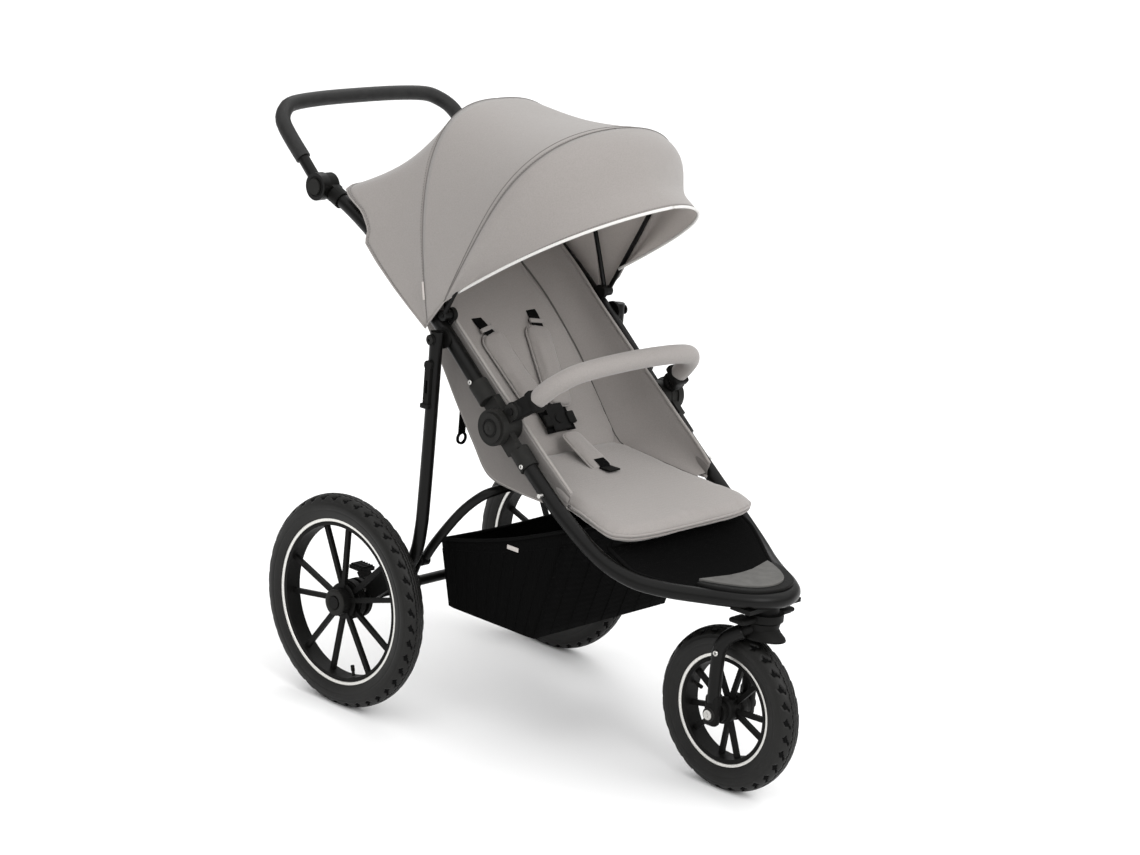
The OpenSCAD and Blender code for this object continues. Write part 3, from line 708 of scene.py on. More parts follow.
def canopy():
    rear = canopy_sheet("canopy_rear_cloth", REAR_FIELD, "canopy_rear_panel")
    middle = canopy_sheet("canopy_mid_cloth", MID_FIELD, "canopy_mid_panel")
    visor = canopy_sheet("canopy_visor_cloth", VISOR_FIELD, "canopy_visor")

    # seams over the bows, each a fine dark line with stitches beside it
    mid_seam = seam_line("canopy_mid_seam", raised(REAR_FIELD[-1], 0.2), 0.9)
    front_seam = seam_line("canopy_front_seam", raised(MID_FIELD[-1], 0.2), 1.1)
    mid_stitches = stitches("canopy_mid_stitches", beside(REAR_FIELD[-1], REAR_FIELD[-2], 0.6, 0.4)[2:-2])
    channel = seam_line("canopy_channel_seam", beside(MID_FIELD[-2], MID_FIELD[-3], 0.178, 0.3)[1:-1], 0.7)
    front_stitches = stitches("canopy_front_stitches", beside(MID_FIELD[-1], MID_FIELD[-2], 0.228, 0.3)[2:-2])

    # pale piping on the visor's edge, and turned hems on the other edges
    piping = tube("visor_piping", VISOR_FIELD[-1], 2.7, "piping", up=ACROSS, sides=14)
    visor_stitches = stitches("visor_stitches", beside(VISOR_FIELD[-1], VISOR_FIELD[-2], 0.55, 0.5)[1:-1])
    hem = tube("canopy_rear_hem", REAR_FIELD[0], 1.7, "grey_fabric", up=HEM_UP, sides=10)
    hem_line = beside(REAR_FIELD[0], REAR_FIELD[1], 0.5, 0.4)[1:-1]
    hem_stitches = stitches("canopy_hem_stitches", hem_line, up=HEM_UP)
    visor_hems, side_hems = [], []
    for side, k in (("right", 0), ("left", -1)):
        for name, rows, hems in (("visor", VISOR_FIELD, visor_hems), ("canopy", MID_FIELD, side_hems)):
            line = [row[k] for row in rows]
            hems.append(tube(f"{name}_side_hem_{side}", line, 1.7, "grey_fabric", sides=10))

    # a plain folded tag in the seam, and the sleeve that holds the middle bow to the cloth
    a, b = Vector(REAR_FIELD[-1][TAG_COLUMN]), Vector(REAR_FIELD[-1][TAG_COLUMN + 3])
    along = b - a
    middle_of_tag = (a + b) / 2 + Vector((-2 * MM, 2 * MM, 0))
    turn = along.to_track_quat("Z", "Y").to_matrix()
    tag = rounded_box("canopy_tag", (1.2, 5, along.length / MM), middle_of_tag, "lining_painted_light", 0.5, turn)
    sleeve_line = raised(REAR_FIELD[-1], -9)[13:-13]
    sleeve = tube("mid_bow_sleeve", sleeve_line, 8.5, "lining_painted_light", up=ACROSS, sides=16, flat=0.75)

    for piece in (rear, mid_stitches, hem_stitches):
        blend_between(piece, HEM, MID_BOW)
    for piece in (middle, channel, front_stitches, *side_hems):
        blend_between(piece, MID_BOW, FRONT_BOW)
    ride_all("upper_frame", hem)
    ride_all("canopy_mid", mid_seam, tag, sleeve)
    ride_all("canopy_front", visor, front_seam, piping, visor_stitches, *visor_hems)


canopy()


# Seat ------------------------------------------------------------------------

CREASE = joint_at("recline")
BACK_TOP = from_axle(0, 20, 837)
UP_BACK = (BACK_TOP - CREASE).normalized()
OFF_BACK = Vector((0, -UP_BACK.z, UP_BACK.y))
BACK_TURN = Matrix((X, UP_BACK, OFF_BACK)).transposed()
SEAT_FRONT = from_axle(0, -597, 468)
ALONG_SEAT = (SEAT_FRONT - CREASE).normalized()
OFF_SEAT = Vector((0, ALONG_SEAT.z, -ALONG_SEAT.y))
# Half widths of the seat, by distance from the rear axle, and of the backrest, by height over the crease
SEAT_OUTLINE = [
    (140, -246), (148, -266), (153, -285), (158, -320), (163, -360), (168, -400), (173, -440), (181, -480),
    (189, -515), (193, -545), (188, -566), (170, -580), (140, -589), (96, -594),
]
BACK_OUTLINE = [
    (148, -22), (156, 2), (160, 30), (163, 90), (165, 170), (163, 235), (154, 300), (140, 350), (126, 398),
    (108, 424), (78, 440),
]


def on_back(x, up, off=0.0):
    """A point on the backrest's face, in millimetres across, up from the crease and off the face."""
    return CREASE + X * (x * MM) + UP_BACK * (up * MM) + OFF_BACK * (off * MM)


def seat_point(x, y, off=0.0):
    """A point on the seat's surface at a distance from the rear axle."""
    share = (from_axle(0, y, 0).y - CREASE.y) / (SEAT_FRONT.y - CREASE.y)
    return CREASE.lerp(SEAT_FRONT, share) + X * (x * MM) + OFF_SEAT * (off * MM)


def cushion(name, line, half_t, off, square, cap, node):
    """A seat pad through (half width, centre) pairs, thin at both ends."""
    stations = []
    for i, (half_w, centre) in enumerate(line):
        thin = min(1, 0.45 + 0.275 * min(i, len(line) - 1 - i))
        stations.append((centre, half_w * MM, half_t * MM * thin, off, X))
    pad = inflated(loft_pad(name, stations, 48, square), cap)
    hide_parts(node)
    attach(pad, BODY_OF[node])
    return pad


def seat_edge(sign):
    """Where the piping lies along one side of the seat, a little further out at the front."""
    return [seat_point(sign * w * 1.03, y - (8 if y < -560 else 0), -7) for w, y in SEAT_OUTLINE[2:]]


def seat():
    line = [(w, seat_point(0, y, -12)) for w, y in SEAT_OUTLINE]
    pad = cushion("seat_pad", line, 12.5, OFF_SEAT, 0.42, 6, "seat_cushion")
    edge = smooth_path(seat_edge(-1) + [seat_point(0, -606, -7)] + seat_edge(1)[::-1], 6)
    for k, (off, radius) in enumerate(((0, 2.2), (-13, 1.7))):
        line = even_spacing(on_surface(pad, [p + OFF_SEAT * (off * MM) for p in edge], 0.9 * MM), 120)
        piping = tube(f"seat_piping_{k}", line, radius, "grey_fabric", up=OFF_SEAT, sides=12)
        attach(piping, "front_frame")
    line = [(w, on_back(0, up, -13)) for w, up in BACK_OUTLINE]
    back = cushion("backrest_pad", line, 12, OFF_BACK, 0.45, 7, "backrest")
    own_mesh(back)


# Each station of a seat's side: seam with the pad, top edge, and lower outer edge
SIDE_STATIONS = [
    ((112, 8, 822), (183, -22, 852), (186, 22, 800)),
    ((139, -50, 757), (187, -84, 803), (190, -62, 742)),
    ((153, -108, 689), (187, -146, 750), (193, -120, 668)),
    ((156, -151, 640), (187, -205, 703), (195, -168, 604)),
    ((151, -206, 576), (187, -262, 658), (195, -214, 545)),
    ((154, -262, 510), (187, -320, 614), (195, -258, 494)),
    ((160, -320, 500), (187, -372, 573), (194, -325, 482)),
    ((166, -385, 491), (187, -418, 538), (191, -396, 479)),
    ((173, -440, 484), (185, -455, 508), (188, -448, 481)),
]
TUCKED = ((30, 17), (15, 15), (4, 8))  # how far inside and below the seam the cloth is tucked
WING_STEPS = 8
SHELL_STEPS = 7
SHELL_FROM = len(TUCKED) + WING_STEPS + 1  # the column where the cloth turns over to the outside


def side_rows(sign):
    """Rows of a seat's side, each from under the pad, over the top edge and down the outside."""
    stations = [[(sign * x, y, z) for x, y, z in station] for station in SIDE_STATIONS]
    lines = [smooth_path(points, 5) for points in zip(*stations)]
    rows = []
    for i, across in enumerate(zip(*lines)):
        seam, top, low = (from_axle(*p) for p in across)
        down = -OFF_BACK.lerp(OFF_SEAT, max(0, min(1, (i - 20) / 8))).normalized()
        row = [seam + down * (below * MM) - X * (sign * inside * MM) for inside, below in TUCKED]
        for k in range(WING_STEPS + 1):
            t = k / WING_STEPS
            hollow = math.sin(math.pi * t)
            row.append(seam.lerp(top, t) + Vector((sign * 9 * hollow * MM, 0, -6 * hollow * MM)))
        turn = top + Vector((sign * 1.5 * MM, 0, -3 * MM))
        for k in range(SHELL_STEPS + 1):
            t = k / SHELL_STEPS
            hollow = math.sin(math.pi * min(1, t * 1.2))
            row.append(turn.lerp(low, t) + Vector((-sign * 3.5 * hollow * MM, 0, 0)))
        rows.append(row)
    return rows


def seat_sides():
    for name, sign in SIDES:
        rows = side_rows(sign)
        side = sheet_mesh(f"seat_wing_{name}", rows[::sign], 2.2, "grey_fabric")
        # the outer shell's faces take the same cloth darkened as painted shade
        side.data.materials.append(MATERIALS["shell_painted_shade"])
        quads = len(rows[0]) - 1
        outer = [int(q % quads >= SHELL_FROM) for q in range(len(side.data.polygons))]
        side.data.polygons.foreach_set("material_index", outer)
        subdivided(side)
        declare_sheet(side, rows)
        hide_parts(f"seat_side_{name}")
        edge = [row[SHELL_FROM - 1] + Vector((0, 0, 1.5 * MM)) for row in rows]
        seam = [row[2].lerp(row[3], 0.6) for row in rows]
        band = [row[-1].lerp(row[-2], 0.3) for row in rows]
        stitched = [row[SHELL_FROM - 2] + Vector((-sign * 1.4 * MM, 0, 1.2 * MM)) for row in rows]
        for piece in (
            side,
            tube(f"seat_wing_piping_{name}", edge, 3, "grey_fabric", up=X, sides=12),
            # a dark tube along the wing's seam paints the shadow in its groove
            tube(f"seat_wing_seam_shadow_{name}", seam, 2.8, "seam", up=X, sides=10),
            tube(f"seat_shell_band_{name}", band, 3.4, "grey_fabric", up=X, sides=12, flat=0.6),
            stitches(f"seat_wing_stitches_{name}", stitched, "lining_painted_light"),
        ):
            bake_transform(piece)


seat()
seat_sides()


# Harness -----------------------------------------------------------------------


def ribbon(name, line, half_w, thick):
    """A flat strap of webbing along a line, its width along X, in millimetres."""
    points = []
    for i, p in enumerate(line):
        t = (line[min(i + 1, len(line) - 1)] - line[max(i - 1, 0)]).normalized()
        n = X.cross(t).normalized()
        for sx, sn in ((-1, -1), (1, -1), (1, 1), (-1, 1)):
            points.append(p + X * (sx * half_w * MM) + n * (sn * thick * MM / 2))
    faces = grid_faces(len(line), 4, close_columns=True) + end_caps(len(line), 4)
    return softened(mesh_object(name, points, faces, "webbing"), 0.5, 2, 50)


def rounded_outline(half_w, length, corner, steps=6):
    """Half widths along a pad whose two ends are rounded."""
    out = []
    for i in range(steps + 1):
        a = math.pi / 2 * i / steps
        out.append((half_w - corner + corner * math.sin(a), corner - corner * math.cos(a)))
    out += [(half_w, corner + (length - 2 * corner) * k / 8) for k in range(1, 8)]
    return out + [(w, length - s) for w, s in out[:steps + 1][::-1]]


def piped_pad(name, start, end, off, half_w, half_t, corner, widen=0.0):
    """A soft pad between two points, with piping round its edge."""
    along = (end - start).normalized()
    across = along.cross(off).normalized()
    length = (end - start).length
    outline = []
    for w, s in rounded_outline(half_w, length / MM, corner):
        outline.append((w * MM * (1 + widen * s * MM / length), s * MM))
    stations = []
    for i, (w, s) in enumerate(outline):
        thin = min(1, 0.55 + 0.15 * min(i, len(outline) - 1 - i))
        stations.append((start + along * s, max(w, 2 * MM), half_t * MM * thin, off, across))
    pad = inflated(loft_pad(name, stations, 36, 0.6), 4, voxel=3, pressure=3)
    loop = [start + along * s + across * w for w, s in outline]
    loop += [start + along * s - across * w for w, s in outline[::-1]]
    loop = even_spacing(loop + loop[:1], 90)[:-1]
    return pad, tube(f"{name}_piping", loop, 1.9, "grey_fabric", up=off, sides=10, closed=True)


# The shoulder strap from its slot in the backrest to its pad: across, up and off the backrest
STRAP = [(72, 302, -3), (72, 294, 2), (71, 280, 7), (67, 262, 11), (62, 246, 15), (57, 226, 18)]


def shoulder(name, sign):
    def at(x, up, off):
        return on_back(sign * x, up, off)

    top, low = at(62, 250, 10), at(27, 84, 13)
    pad, piping = piped_pad(f"shoulder_pad_{name}", top, low, OFF_BACK, 30, 8.5, 20)
    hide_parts("shoulder_pads")
    along = (low - top).normalized()
    across = along.cross(OFF_BACK).normalized()
    pad_turn = Matrix((sign * across, sign * along, OFF_BACK)).transposed()
    webbing = ribbon(f"shoulder_strap_{name}", smooth_path([at(*p) for p in STRAP], 4), 12.5, 1.8)
    if sign < 0:
        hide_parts("shoulder_straps")
    slot = rounded_box(f"strap_slot_{name}", (34, 13, 1.2), at(72, 298, 0.8), "black_fabric", 0.5, BACK_TURN)
    loop = rounded_box(f"strap_loop_{name}", (34, 9, 5), at(66, 259, 13.5), "grey_fabric", 1.8, pad_turn)
    tail = [low - along * 12 * MM, low + along * 8 * MM, at(25, 44, 15), at(26, 34, 14)]
    tail = ribbon(f"buckle_strap_{name}", smooth_path(tail, 3), 11, 1.8)
    tongue_at = at(30, 56, 21)
    tongue = rounded_box(f"buckle_tongue_{name}", (19, 24, 8), tongue_at, "black_plastic", 2.4, BACK_TURN)
    ride_all(BODY_OF["shoulder_pads"], pad, piping, webbing, slot, loop, tail, tongue)


def crotch():
    start, end = from_axle(0, -268, 548), from_axle(0, -362, 503)
    along = (end - start).normalized()
    off = X.cross(along)
    off = off if off.z > 0 else -off
    pad, piping = piped_pad("crotch_cover", start, end, off, 22, 6, 12, widen=0.25)
    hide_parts("crotch_pad")
    strap = [end + along * a * MM + off * b * MM for a, b in ((-22, 7), (-6, 8), (6, 3))]
    strap = ribbon("crotch_strap", smooth_path(strap + [seat_point(0, -378, -1)], 4), 12.5, 2)
    ride_all(BODY_OF["crotch_pad"], pad, piping, strap)


# Bumper bar ----------------------------------------------------------------------

BUMPER_HALF = [
    (189, -356, 656), (184, -378, 680), (172, -396, 697), (148, -410, 711), (100, -421, 720), (45, -426, 724),
]
BUMPER_STEPS = 90
BUMPER_UP = (0, 0.6, 0.8)
KNUCKLE = [(4, -12), (15.5, -12), (17.5, -10), (17.5, 5), (16, 7), (12.6, 7), (12.6, 5), (4, 5)]


def bumper_end(name, sign, inner, away):
    """The socket, arm and pivot knuckle at one end of the bar."""
    pivot = Vector((sign * 205 * MM, *joint_at("bumper_swing").yz))
    along = (pivot - inner).normalized()
    side = along.cross(X).normalized()
    socket_turn = Matrix((away.cross(side).normalized(), side, away)).transposed()
    arm_turn = Matrix((X, side, along)).transposed()
    arm_size = (24, 33, (pivot - inner).length / MM)
    arm_centre = (pivot + inner) / 2 + X * (sign * 3 * MM)
    hub = Vector((sign * 209 * MM, *pivot.yz))
    mouth = inner + away * 2 * MM
    return [
        rounded_box(f"bumper_socket_{name}", (33, 39, 15), mouth, "black_plastic", 4, socket_turn),
        rounded_box(f"bumper_arm_{name}", arm_size, arm_centre, "black_plastic", 5, arm_turn),
        revolved(f"bumper_knuckle_{name}", KNUCKLE, hub, "black_plastic"),
    ]


def bumper():
    line = [from_axle(*p) for p in mirrored(BUMPER_HALF) + [(0, -427, 725)] + BUMPER_HALF[::-1]]
    line = [Vector(p) for p in even_spacing(smooth_path(line, 8), BUMPER_STEPS)]
    radius = [17.6 * min(1, 0.9 + 0.03 * min(i, BUMPER_STEPS - 1 - i)) for i in range(BUMPER_STEPS)]
    cover = tube("bumper_cover", line, radius, "grey_fabric", up=BUMPER_UP, sides=40)
    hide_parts("bumper_bar")
    under = [p + Vector((0, 9, -15)).normalized() * 17.9 * MM for p in line]
    seam = tube("bumper_seam", under, 0.9, "seam", up=BUMPER_UP, sides=8)
    right = bumper_end("right", -1, line[0], (line[0] - line[4]).normalized())
    left = bumper_end("left", 1, line[-1], (line[-1] - line[-5]).normalized())
    ride_all("bumper_bar", cover, seam, *right, *left)


# Basket and foot rest ---------------------------------------------------------------

BASKET_REAR = (Vector((0, -166, 217)), Vector((0, -142, 341)))  # floor and rim
BASKET_FRONT = (Vector((0, -384, 218)), Vector((0, -448, 440)))
SIDE_STEPS, END_STEPS = 18, 16
WALL_ROWS = 15


def basket_ring(t):
    """A ring round the basket's four walls, from the floor at t = 0 to the rim at t = 1."""
    rear, front = (floor.lerp(rim, t) for floor, rim in (BASKET_REAR, BASKET_FRONT))
    half = 178 + 8 * t
    bulge = math.sin(math.pi * t)
    # each wall's steps, ends, swell across and along, and sag
    walls = (
        (SIDE_STEPS, (half, rear), (half, front), (5, 0), 9),
        (END_STEPS, (half, front), (-half, front), (0, -4), 5),
        (SIDE_STEPS, (-half, front), (-half, rear), (-5, 0), 9),
        (END_STEPS, (-half, rear), (half, rear), (0, 3), 5),
    )
    ring = []
    for steps, (x0, p), (x1, q), (out_x, out_y), sag in walls:
        for m in range(steps):
            s = m / steps
            swell = math.sin(math.pi * s)
            at = p.lerp(q, s)
            x = x0 + (x1 - x0) * s + out_x * bulge * swell
            rounding = 2.5 * max(0, 1 - min(s, 1 - s) / 0.06) ** 2
            x -= math.copysign(rounding, x)
            ring.append(from_axle(x, at.y + out_y * bulge * swell, at.z - sag * swell * t))
    return ring


def off_basket(p, gap):
    """A point of the basket's wall moved outwards by a gap in millimetres."""
    return p + (p - from_axle(0, -290, p.z / MM)).normalized() * gap * MM


def basket():
    rows = [basket_ring(1 - i / (WALL_ROWS - 1)) for i in range(WALL_ROWS)]
    edge = rows[-1]
    size = len(edge)
    centre = sum(edge, Vector()) / size
    for shrink, drop in ((0.93, 2), (0.7, 6), (0.35, 9), (0.0, 10)):
        rows.append([centre + (p - centre) * shrink + Vector((0, 0, -drop * MM)) for p in edge])
    faces = grid_faces(len(rows), size, close_columns=True)
    bag = mesh_object("basket_bag", [p for row in rows for p in row], faces, "black_fabric")
    thickened(bag, 1.6, offset=0)
    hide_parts("basket")
    rim = tube("basket_rim", rows[0], 3.4, "webbing", sides=12, closed=True)
    hem = tube("basket_hem", [off_basket(p, 0.6) for p in rows[2]], 0.9, "webbing", sides=6, closed=True)
    tag_at = rows[1][SIDE_STEPS + END_STEPS + 7] + Vector((-2.2 * MM, 0, -6 * MM))
    tag = rounded_box("basket_tag", (1.2, 28, 8), tag_at, "lining_painted_light", 0.5)
    ribs = []
    for k in range(0, size, 2):
        line = [off_basket(row[k], 0.9) for row in rows[2:WALL_ROWS]]
        ribs.append(tube(f"basket_rib_{k}", line, 0.9, "black_fabric", up=(0.4, 0.5, 0.1), sides=6))
    ride_all(BODY_OF["basket"], bag, rim, hem, tag, joined("basket_ribs", ribs))


# Half width, place and height of the foot rest's cloth, from the seat to the foot plate
FOOT_REST = [
    (178, -545, 434), (178, -570, 422), (170, -598, 405), (152, -626, 397), (134, -652, 391),
    (116, -676, 388), (104, -696, 387),
]


def foot_rest():
    line = smooth_path(FOOT_REST, 4)
    rows = []
    for i, (half, y, z) in enumerate(line):
        dip = 7 * math.sin(math.pi * i / (len(line) - 1))
        rows.append([from_axle(half * c, y, z - dip * (1 - c * c)) for c in np.linspace(-1, 1, 25)])
    cloth = sheet_mesh("foot_rest_cloth", rows, 1.6, "black_fabric")
    declare_sheet(cloth, rows)
    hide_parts("footrest_fabric")
    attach(cloth, "front_frame")
    for name, k in (("right", 0), ("left", -1)):
        sleeve = tube(f"foot_rest_sleeve_{name}", [row[k] for row in rows], 4, "webbing", sides=12)
        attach(sleeve, "front_frame")


# Half outlines of the foot plate's two tiers, front to rear, in millimetres from the rear axle
PLATE_TOP = [(0, -779), (36, -769), (64, -740), (86, -702), (93, -684), (60, -693), (30, -701)]
PLATE_BASE = [(0, -797), (44, -785), (74, -757), (98, -717), (105, -688), (70, -690), (34, -697)]


def smooth_outline(half):
    """The outline's front curve made smooth round the middle, then its rear edge."""
    front = smooth_path([(-half[1][0], half[1][1], 0)] + [(x, y, 0) for x, y in half[:5]], 6)[6:]
    rear = smooth_path([(x, y, 0) for x, y in half[4:]], 4)[1:]
    return [(p.x, p.y) for p in front + rear]


def plate(name, half, low, high, material, edge):
    half = smooth_outline(half)
    outline = half + [(0, half[-1][1] - 2)] + [(-x, y) for x, y in half[:0:-1]]
    points = [from_axle(x, y, z) for z in (low, high) for x, y in outline]
    faces = grid_faces(2, len(outline), close_columns=True) + end_caps(2, len(outline))
    obj = softened(mesh_object(name, points, faces, material), edge, 3, 50)
    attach(obj, "front_frame")
    return obj


def foot_plate():
    plate("footplate_base", PLATE_BASE, 388, 399, "black_plastic", 3)
    top = plate("footplate_top", PLATE_TOP, 397, 402.5, "grey_plastic", 1.4)
    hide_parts("footplate")


# Wheels ---------------------------------------------------------------------------


def smooth_step(x):
    x = np.clip(x, 0, 1)
    return x * x * (3 - 2 * x)


def tread_depth(cell, angle):
    """Depth of the tread, in millimetres, at a place in its repeat and an angle from the crown."""
    tilt = np.abs(angle)
    zigzag = np.abs((2 * cell) % 1 - 0.5) * 2
    flip = np.where(angle > 0, 0.5, 0.0)
    s = np.clip((tilt - 22) / 38, 0, 1)
    at = (cell + flip + 0.3 * s) % 1
    leaf = 0.27 * np.sin(np.pi * s) ** 0.7
    off_leaf = np.abs(at - 0.5 - 0.08 * np.sin(3 * np.pi * s))
    out = 3.0 * smooth_step((leaf - off_leaf) / 0.04) * (s > 0) * (s < 1)
    out += 2.2 * smooth_step((3.0 - np.abs(tilt - 12 - 5 * zigzag)) / 1.6)
    out += 1.6 * smooth_step((2.2 - np.abs(angle - 3 * (zigzag - 0.5))) / 1.5)
    for ring in (66, 73, 97, 104):
        out += 0.7 * smooth_step((1.6 - np.abs(tilt - ring)) / 1.4)
    return out


CELL_STEPS = 18  # steps round the tyre in each repeat of the tread
RING_STEPS = 91
BEAD_ANGLE = 125  # from the crown round to the bead, in degrees
WALL_ANGLE = 90
TUCK = 4.6 * MM  # how far the side walls draw in at the bead


def tyre(node, repeats):
    """The tyre with its tread cut in. Returns its centre and the rim's radius."""
    low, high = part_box(node)
    centre = (low + high) / 2
    outer, half = (high.z - low.z) / 2, (high.x - low.x) / 2
    rim_low, rim_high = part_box(node.replace("tyre", "rim"))
    rim_r = (rim_high.z - rim_low.z) / 2
    steps = repeats * CELL_STEPS
    turns = np.linspace(0, 2 * np.pi, steps, endpoint=False)
    around, angle = np.meshgrid(turns, np.linspace(-BEAD_ANGLE, BEAD_ANGLE, RING_STEPS), indexing="ij")
    depth = tread_depth(around * repeats / (2 * np.pi), angle) * MM
    core = outer - half
    r = half - depth
    share = np.clip((np.abs(angle) - WALL_ANGLE) / (BEAD_ANGLE - WALL_ANGLE), 0, 1)
    wall = core - share * (core - rim_r - 0.4 * MM)
    radial = np.where(share > 0, wall, core + r * np.cos(np.radians(angle)))
    x = np.where(share > 0, (r - TUCK * share**2) * np.sign(angle), r * np.sin(np.radians(angle)))
    y, z = radial * np.cos(around), radial * np.sin(around)
    points = np.stack([centre.x + x, centre.y + y, centre.z + z], -1)
    faces = grid_faces(steps, RING_STEPS, close_rows=True)
    obj = mesh_object(node.replace("tyre", "tyre_tread"), points.reshape(-1, 3), faces, "tyre")
    # faces deeper than 1.3 mm take a darker rubber as painted shade in the grooves
    obj.data.materials.append(MATERIALS["tyre_groove_painted_shade"])
    groove_shade_faces = (depth > 1.3 * MM)[:, :-1].ravel()
    obj.data.polygons.foreach_set("material_index", groove_shade_faces.astype(np.int32))
    thickened(obj, 2)
    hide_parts(node)
    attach(obj, BODY_OF[node])
    return centre, rim_r


# Closed profiles as (radius, offset) in millimetres
HUB_CAP = [(13, -1), (25, -1), (25, 1.6), (23.5, 2.8), (14.5, 2.8), (13, 1.8)]
HUB_FLANGE = [(24, 0), (33, 0), (34, 1.5), (33, 3), (24, 3)]
HUB_SLEEVE = [
    (8, -25), (22, -25), (24, -23), (24, -10), (21, -8), (21, 8), (24, 10), (24, 23), (22, 25), (8, 25),
]


def wheel(node, repeats, valve_turn):
    centre, rim_r = tyre(node, repeats)
    rear = node.startswith("rear")
    half = 16.5 if rear else 18
    r = rim_r / MM
    line = [(r - 6.5, half), (r - 5.5, half + 1.5), (r + 0.2, half + 1.9), (r + 1.2, half)]
    pieces = []
    for k, sign in enumerate((-1, 1)):
        pieces.append(revolved(f"{node}_rim_line_{k}", line, centre, "rim_line", sign, 128))
    turn = math.radians(valve_turn)
    out = Vector((0, math.cos(turn), math.sin(turn)))
    stem = [centre + out * (rim_r - depth * MM) for depth in (15, 19, 23, 27)]
    pieces.append(tube(f"{node}_valve", stem, 3, "tyre", up=X, sides=16))
    cap = [stem[-1] + out * 3 * MM, stem[-1] - out * 7 * MM, stem[-1] - out * 8 * MM]
    pieces.append(tube(f"{node}_valve_cap", cap, [3.7, 3.7, 2.8], "black_plastic", up=X, sides=16))
    if rear:
        sign = 1 if centre.x > 0 else -1
        face = Vector((309 * MM * sign, *centre.yz))
        pieces.append(revolved(f"{node}_hub_cap", HUB_CAP, face, "dark_plastic", sign))
        for k, at in enumerate((-6, 7)):
            place = centre + X * (at * MM)
            pieces.append(revolved(f"{node}_flange_{k}", HUB_FLANGE, place, "black_plastic"))
    else:
        pieces.append(revolved("front_hub_sleeve", HUB_SLEEVE, centre, "black_plastic"))
    for piece in pieces:
        softened(piece, 0.4, 2, 50)
    ride_all(BODY_OF[node], *pieces)


# Fittings -------------------------------------------------------------------------

# Each screw's or nut's place, radius, height, look and body
SCREWS = {
    "leg_screw": ((256.5, -149, 728), 8, 3, "dark_plastic", "rear_legs"),
    "upper_socket_screw": ((226, -226, 664), 4.5, 2, "steel", "upper_frame"),
    "lower_socket_screw": ((226, -367, 543), 4.5, 2, "steel", "front_frame"),
    "fork_screw": ((60, -711, 266), 5.5, 3, "steel", "fork"),
    "axle_nut": ((57.5, -706, 149), 6.5, 4, "steel", "fork"),
}
DROPOUT_RING = [(8, 0), (13, 0), (13, 2), (11.5, 3), (8, 3)]
FOLD_RING = [(14, -1), (16.5, -1), (16.5, 1.2), (14, 1.2)]
FOLD_CAP = [(0.5, -1), (13, -1), (12.4, 1.0), (0.5, 1.6)]
HANDLE_RING = [(17, -1), (19.5, -1), (19.5, 1), (17, 1)]
FORK_LEG = [(35, -748, 313), (44, -724, 297), (47, -709, 270), (47, -706, 236), (47, -706, 170)]
# The fork's bell from its top down: height, radius and how far its nose stands out
BELL = [
    (333, 26, 0), (322, 26.5, 1), (320.5, 25.3, 1), (319, 26.8, 1.5), (312, 29, 6), (305, 33, 12),
    (301, 34, 12.5), (300, 30, 10),
]
BELL_SIDES = 48


def button_head(name, at, radius, depth, material, sign, body):
    """A button-headed screw or nut facing along X, with a hexagon socket."""
    socket = 0.36 * radius
    edge = [(radius, 0), (radius, 0.45 * depth), (0.8 * radius, depth)]
    profile = [(0.34 * radius, 0), *edge, (socket, depth)]
    floor = [(0.2, 0), (socket, 0), (socket, 0.35 * depth), (0.2, 0.35 * depth)]
    head = revolved(name, profile, at, material, sign, 48)
    ride_all(body, head, revolved(f"{name}_socket", floor, at, "black_plastic", sign, 6))


def fittings(name, sign):
    def at(x, y, z):
        return from_axle(sign * x, y, z)

    def beside_joint(joint, x):
        return Vector((sign * x * MM, *joint_at(joint).yz))

    for screw, (place, radius, depth, material, body) in SCREWS.items():
        button_head(f"{screw}_{name}", at(*place), radius, depth, material, sign, body)
    leg = smooth_path([at(*p) for p in FORK_LEG], 6)
    radii = [14 - 0.09 * i for i in range(len(leg))]
    ride_all(
        "fork",
        revolved(f"dropout_ring_{name}", DROPOUT_RING, at(56, -706, 149), "dark_plastic", sign),
        tube(f"fork_leg_{name}", leg, radii, "black_tube", up=(1, 0.2, 0.3), sides=32),
        rounded_box(f"fork_dropout_{name}", (19, 29, 58), at(47.5, -706, 156), "black_plastic", 7),
    )
    wing = rounded_box(f"swivel_wing_{name}", (36, 34, 9), at(54, -757, 340), "black_plastic", 4.2)
    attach(wing, "swivel_lock")
    disc = beside_joint("frame_fold", 244)
    ride_all(
        "front_frame",
        revolved(f"fold_disc_ring_{name}", FOLD_RING, disc, "black_plastic", sign),
        revolved(f"fold_disc_cap_{name}", FOLD_CAP, disc, "dark_plastic", sign),
    )
    hub = beside_joint("handle_tilt", 236)
    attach(revolved(f"handle_hub_ring_{name}", HANDLE_RING, hub, "black_plastic", sign), "handle")


def fork_bell():
    points = []
    for z, r, nose in BELL:
        for k in range(BELL_SIDES):
            a = 2 * math.pi * k / BELL_SIDES
            reach = r + nose * max(0, -math.sin(a)) ** 4
            points.append(from_axle(reach * math.cos(a), -763 + reach * math.sin(a), z))
    faces = grid_faces(len(BELL), BELL_SIDES, close_columns=True)
    faces += [cap[::-1] for cap in end_caps(len(BELL), BELL_SIDES)]
    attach(mesh_object("fork_bell", points, faces, "black_plastic"), "fork")


for side_name, side_sign in SIDES:
    shoulder(side_name, side_sign)
crotch()
bumper()
basket()
foot_rest()
foot_plate()
wheel("rear_tyre_left", 41, -105)
wheel("rear_tyre_right", 41, -105)
wheel("front_tyre", 30, 15)
for side_name, side_sign in SIDES:
    fittings(side_name, side_sign)
fork_bell()


# Camera, light and floor ---------------------------------------------------

CAMERA_TARGET = from_axle(0, -269.3, 558.9)
CAMERA_AZIMUTH = math.radians(-47.67)
CAMERA_ELEVATION = math.radians(15.18)
CAMERA_ROLL = math.radians(4.70)
CAMERA_DISTANCE = 5.2816
CAMERA_LENS = 90.89


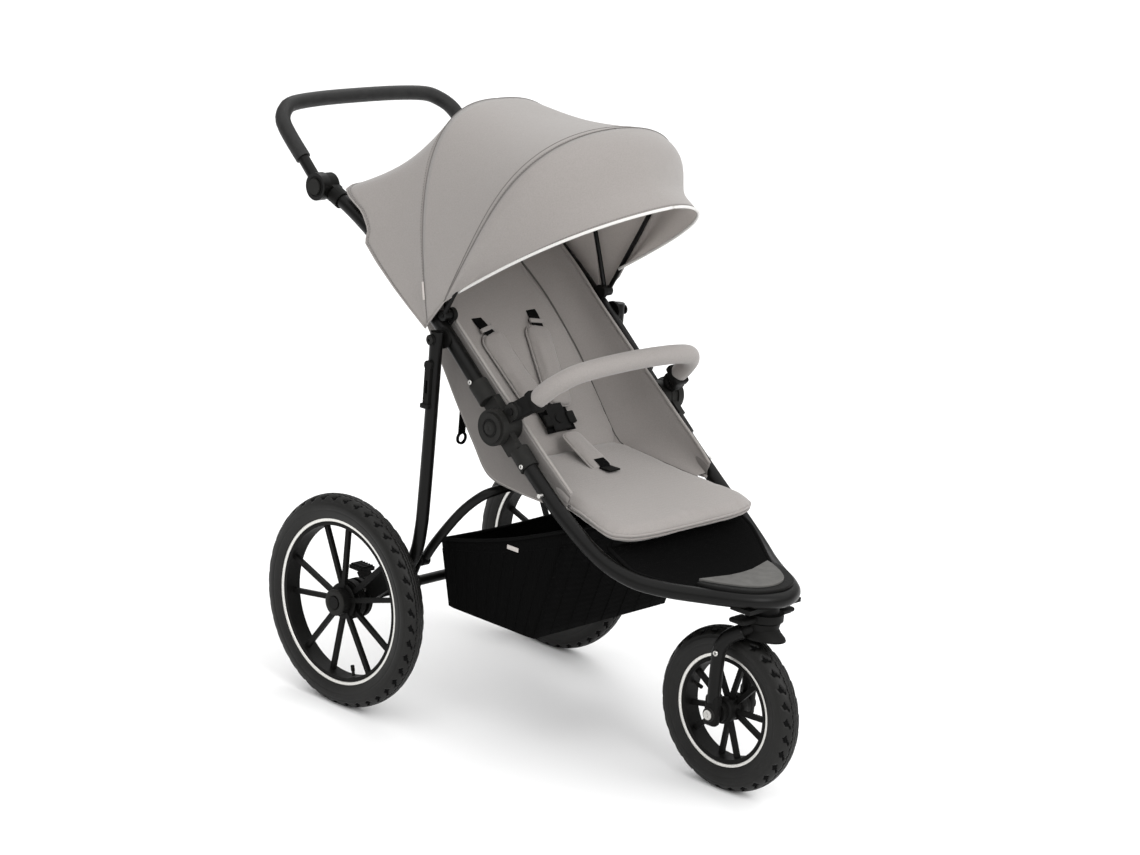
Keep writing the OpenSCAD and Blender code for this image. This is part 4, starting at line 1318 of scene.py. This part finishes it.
def add_camera():
    back = Vector((
        math.sin(CAMERA_AZIMUTH) * math.cos(CAMERA_ELEVATION),
        -math.cos(CAMERA_AZIMUTH) * math.cos(CAMERA_ELEVATION),
        math.sin(CAMERA_ELEVATION),
    ))
    right = Vector((0, 0, 1)).cross(back).normalized()
    up = back.cross(right)
    c, s = math.cos(CAMERA_ROLL), math.sin(CAMERA_ROLL)
    right, up = c * right + s * up, c * up - s * right
    data = bpy.data.cameras.new("camera")
    data.sensor_width = 36
    data.lens = CAMERA_LENS
    data.clip_end = 60
    camera = bpy.data.objects.new("camera", data)
    place = Matrix((right, up, back)).transposed().to_4x4()
    place.translation = CAMERA_TARGET + CAMERA_DISTANCE * back
    camera.matrix_world = place
    bpy.context.scene.collection.objects.link(camera)
    bpy.context.scene.camera = camera


def add_light(name, at, target, size, watts):
    data = bpy.data.lights.new(name, "AREA")
    data.shape = "DISK"
    data.size = size
    data.energy = watts
    obj = bpy.data.objects.new(name, data)
    obj.location = at
    obj.rotation_euler = (Vector(target) - Vector(at)).to_track_quat("-Z", "Y").to_euler()
    bpy.context.scene.collection.objects.link(obj)


def add_stage():
    middle_of_part = (cad_bounds[0] + cad_bounds[1]) / 2
    span = 40  # metres, wide enough to reach past the picture
    floor = mesh_object(
        "floor",
        [(-span, -span, 0), (span, -span, 0), (span, span, 0), (-span, span, 0)],
        [(0, 1, 2, 3)],
        "piping",
    )
    look = Look("studio_floor", 0.7)
    look.colour(look.noise(0.4, 2), [(0.3, (0.9, 0.9, 0.9)), (0.7, (0.92, 0.92, 0.92))])
    floor.data.materials.clear()
    floor.data.materials.append(look.material)
    add_light("key", (-0.9, -3.8, 3.0), middle_of_part, 2.2, 62)
    add_light("fill", (-3.8, 0.2, 1.5), middle_of_part, 2.4, 5)
    add_light("rim", (2.6, 2.4, 3.2), middle_of_part, 2.0, 20)
    sun = bpy.data.lights.new("sky", "SUN")
    sun.energy = 2.9
    sun.angle = math.radians(120)
    sky = bpy.data.objects.new("sky", sun)
    sky.rotation_euler = (math.radians(16), math.radians(-4), 0)
    bpy.context.scene.collection.objects.link(sky)
    world = bpy.data.worlds.new("studio")
    world.use_nodes = True
    world.node_tree.nodes["Background"].inputs["Color"].default_value = (1, 1, 1, 1)
    world.node_tree.nodes["Background"].inputs["Strength"].default_value = 0.5
    bpy.context.scene.world = world
    bpy.context.scene.view_settings.view_transform = "Standard"


add_camera()
add_stage()
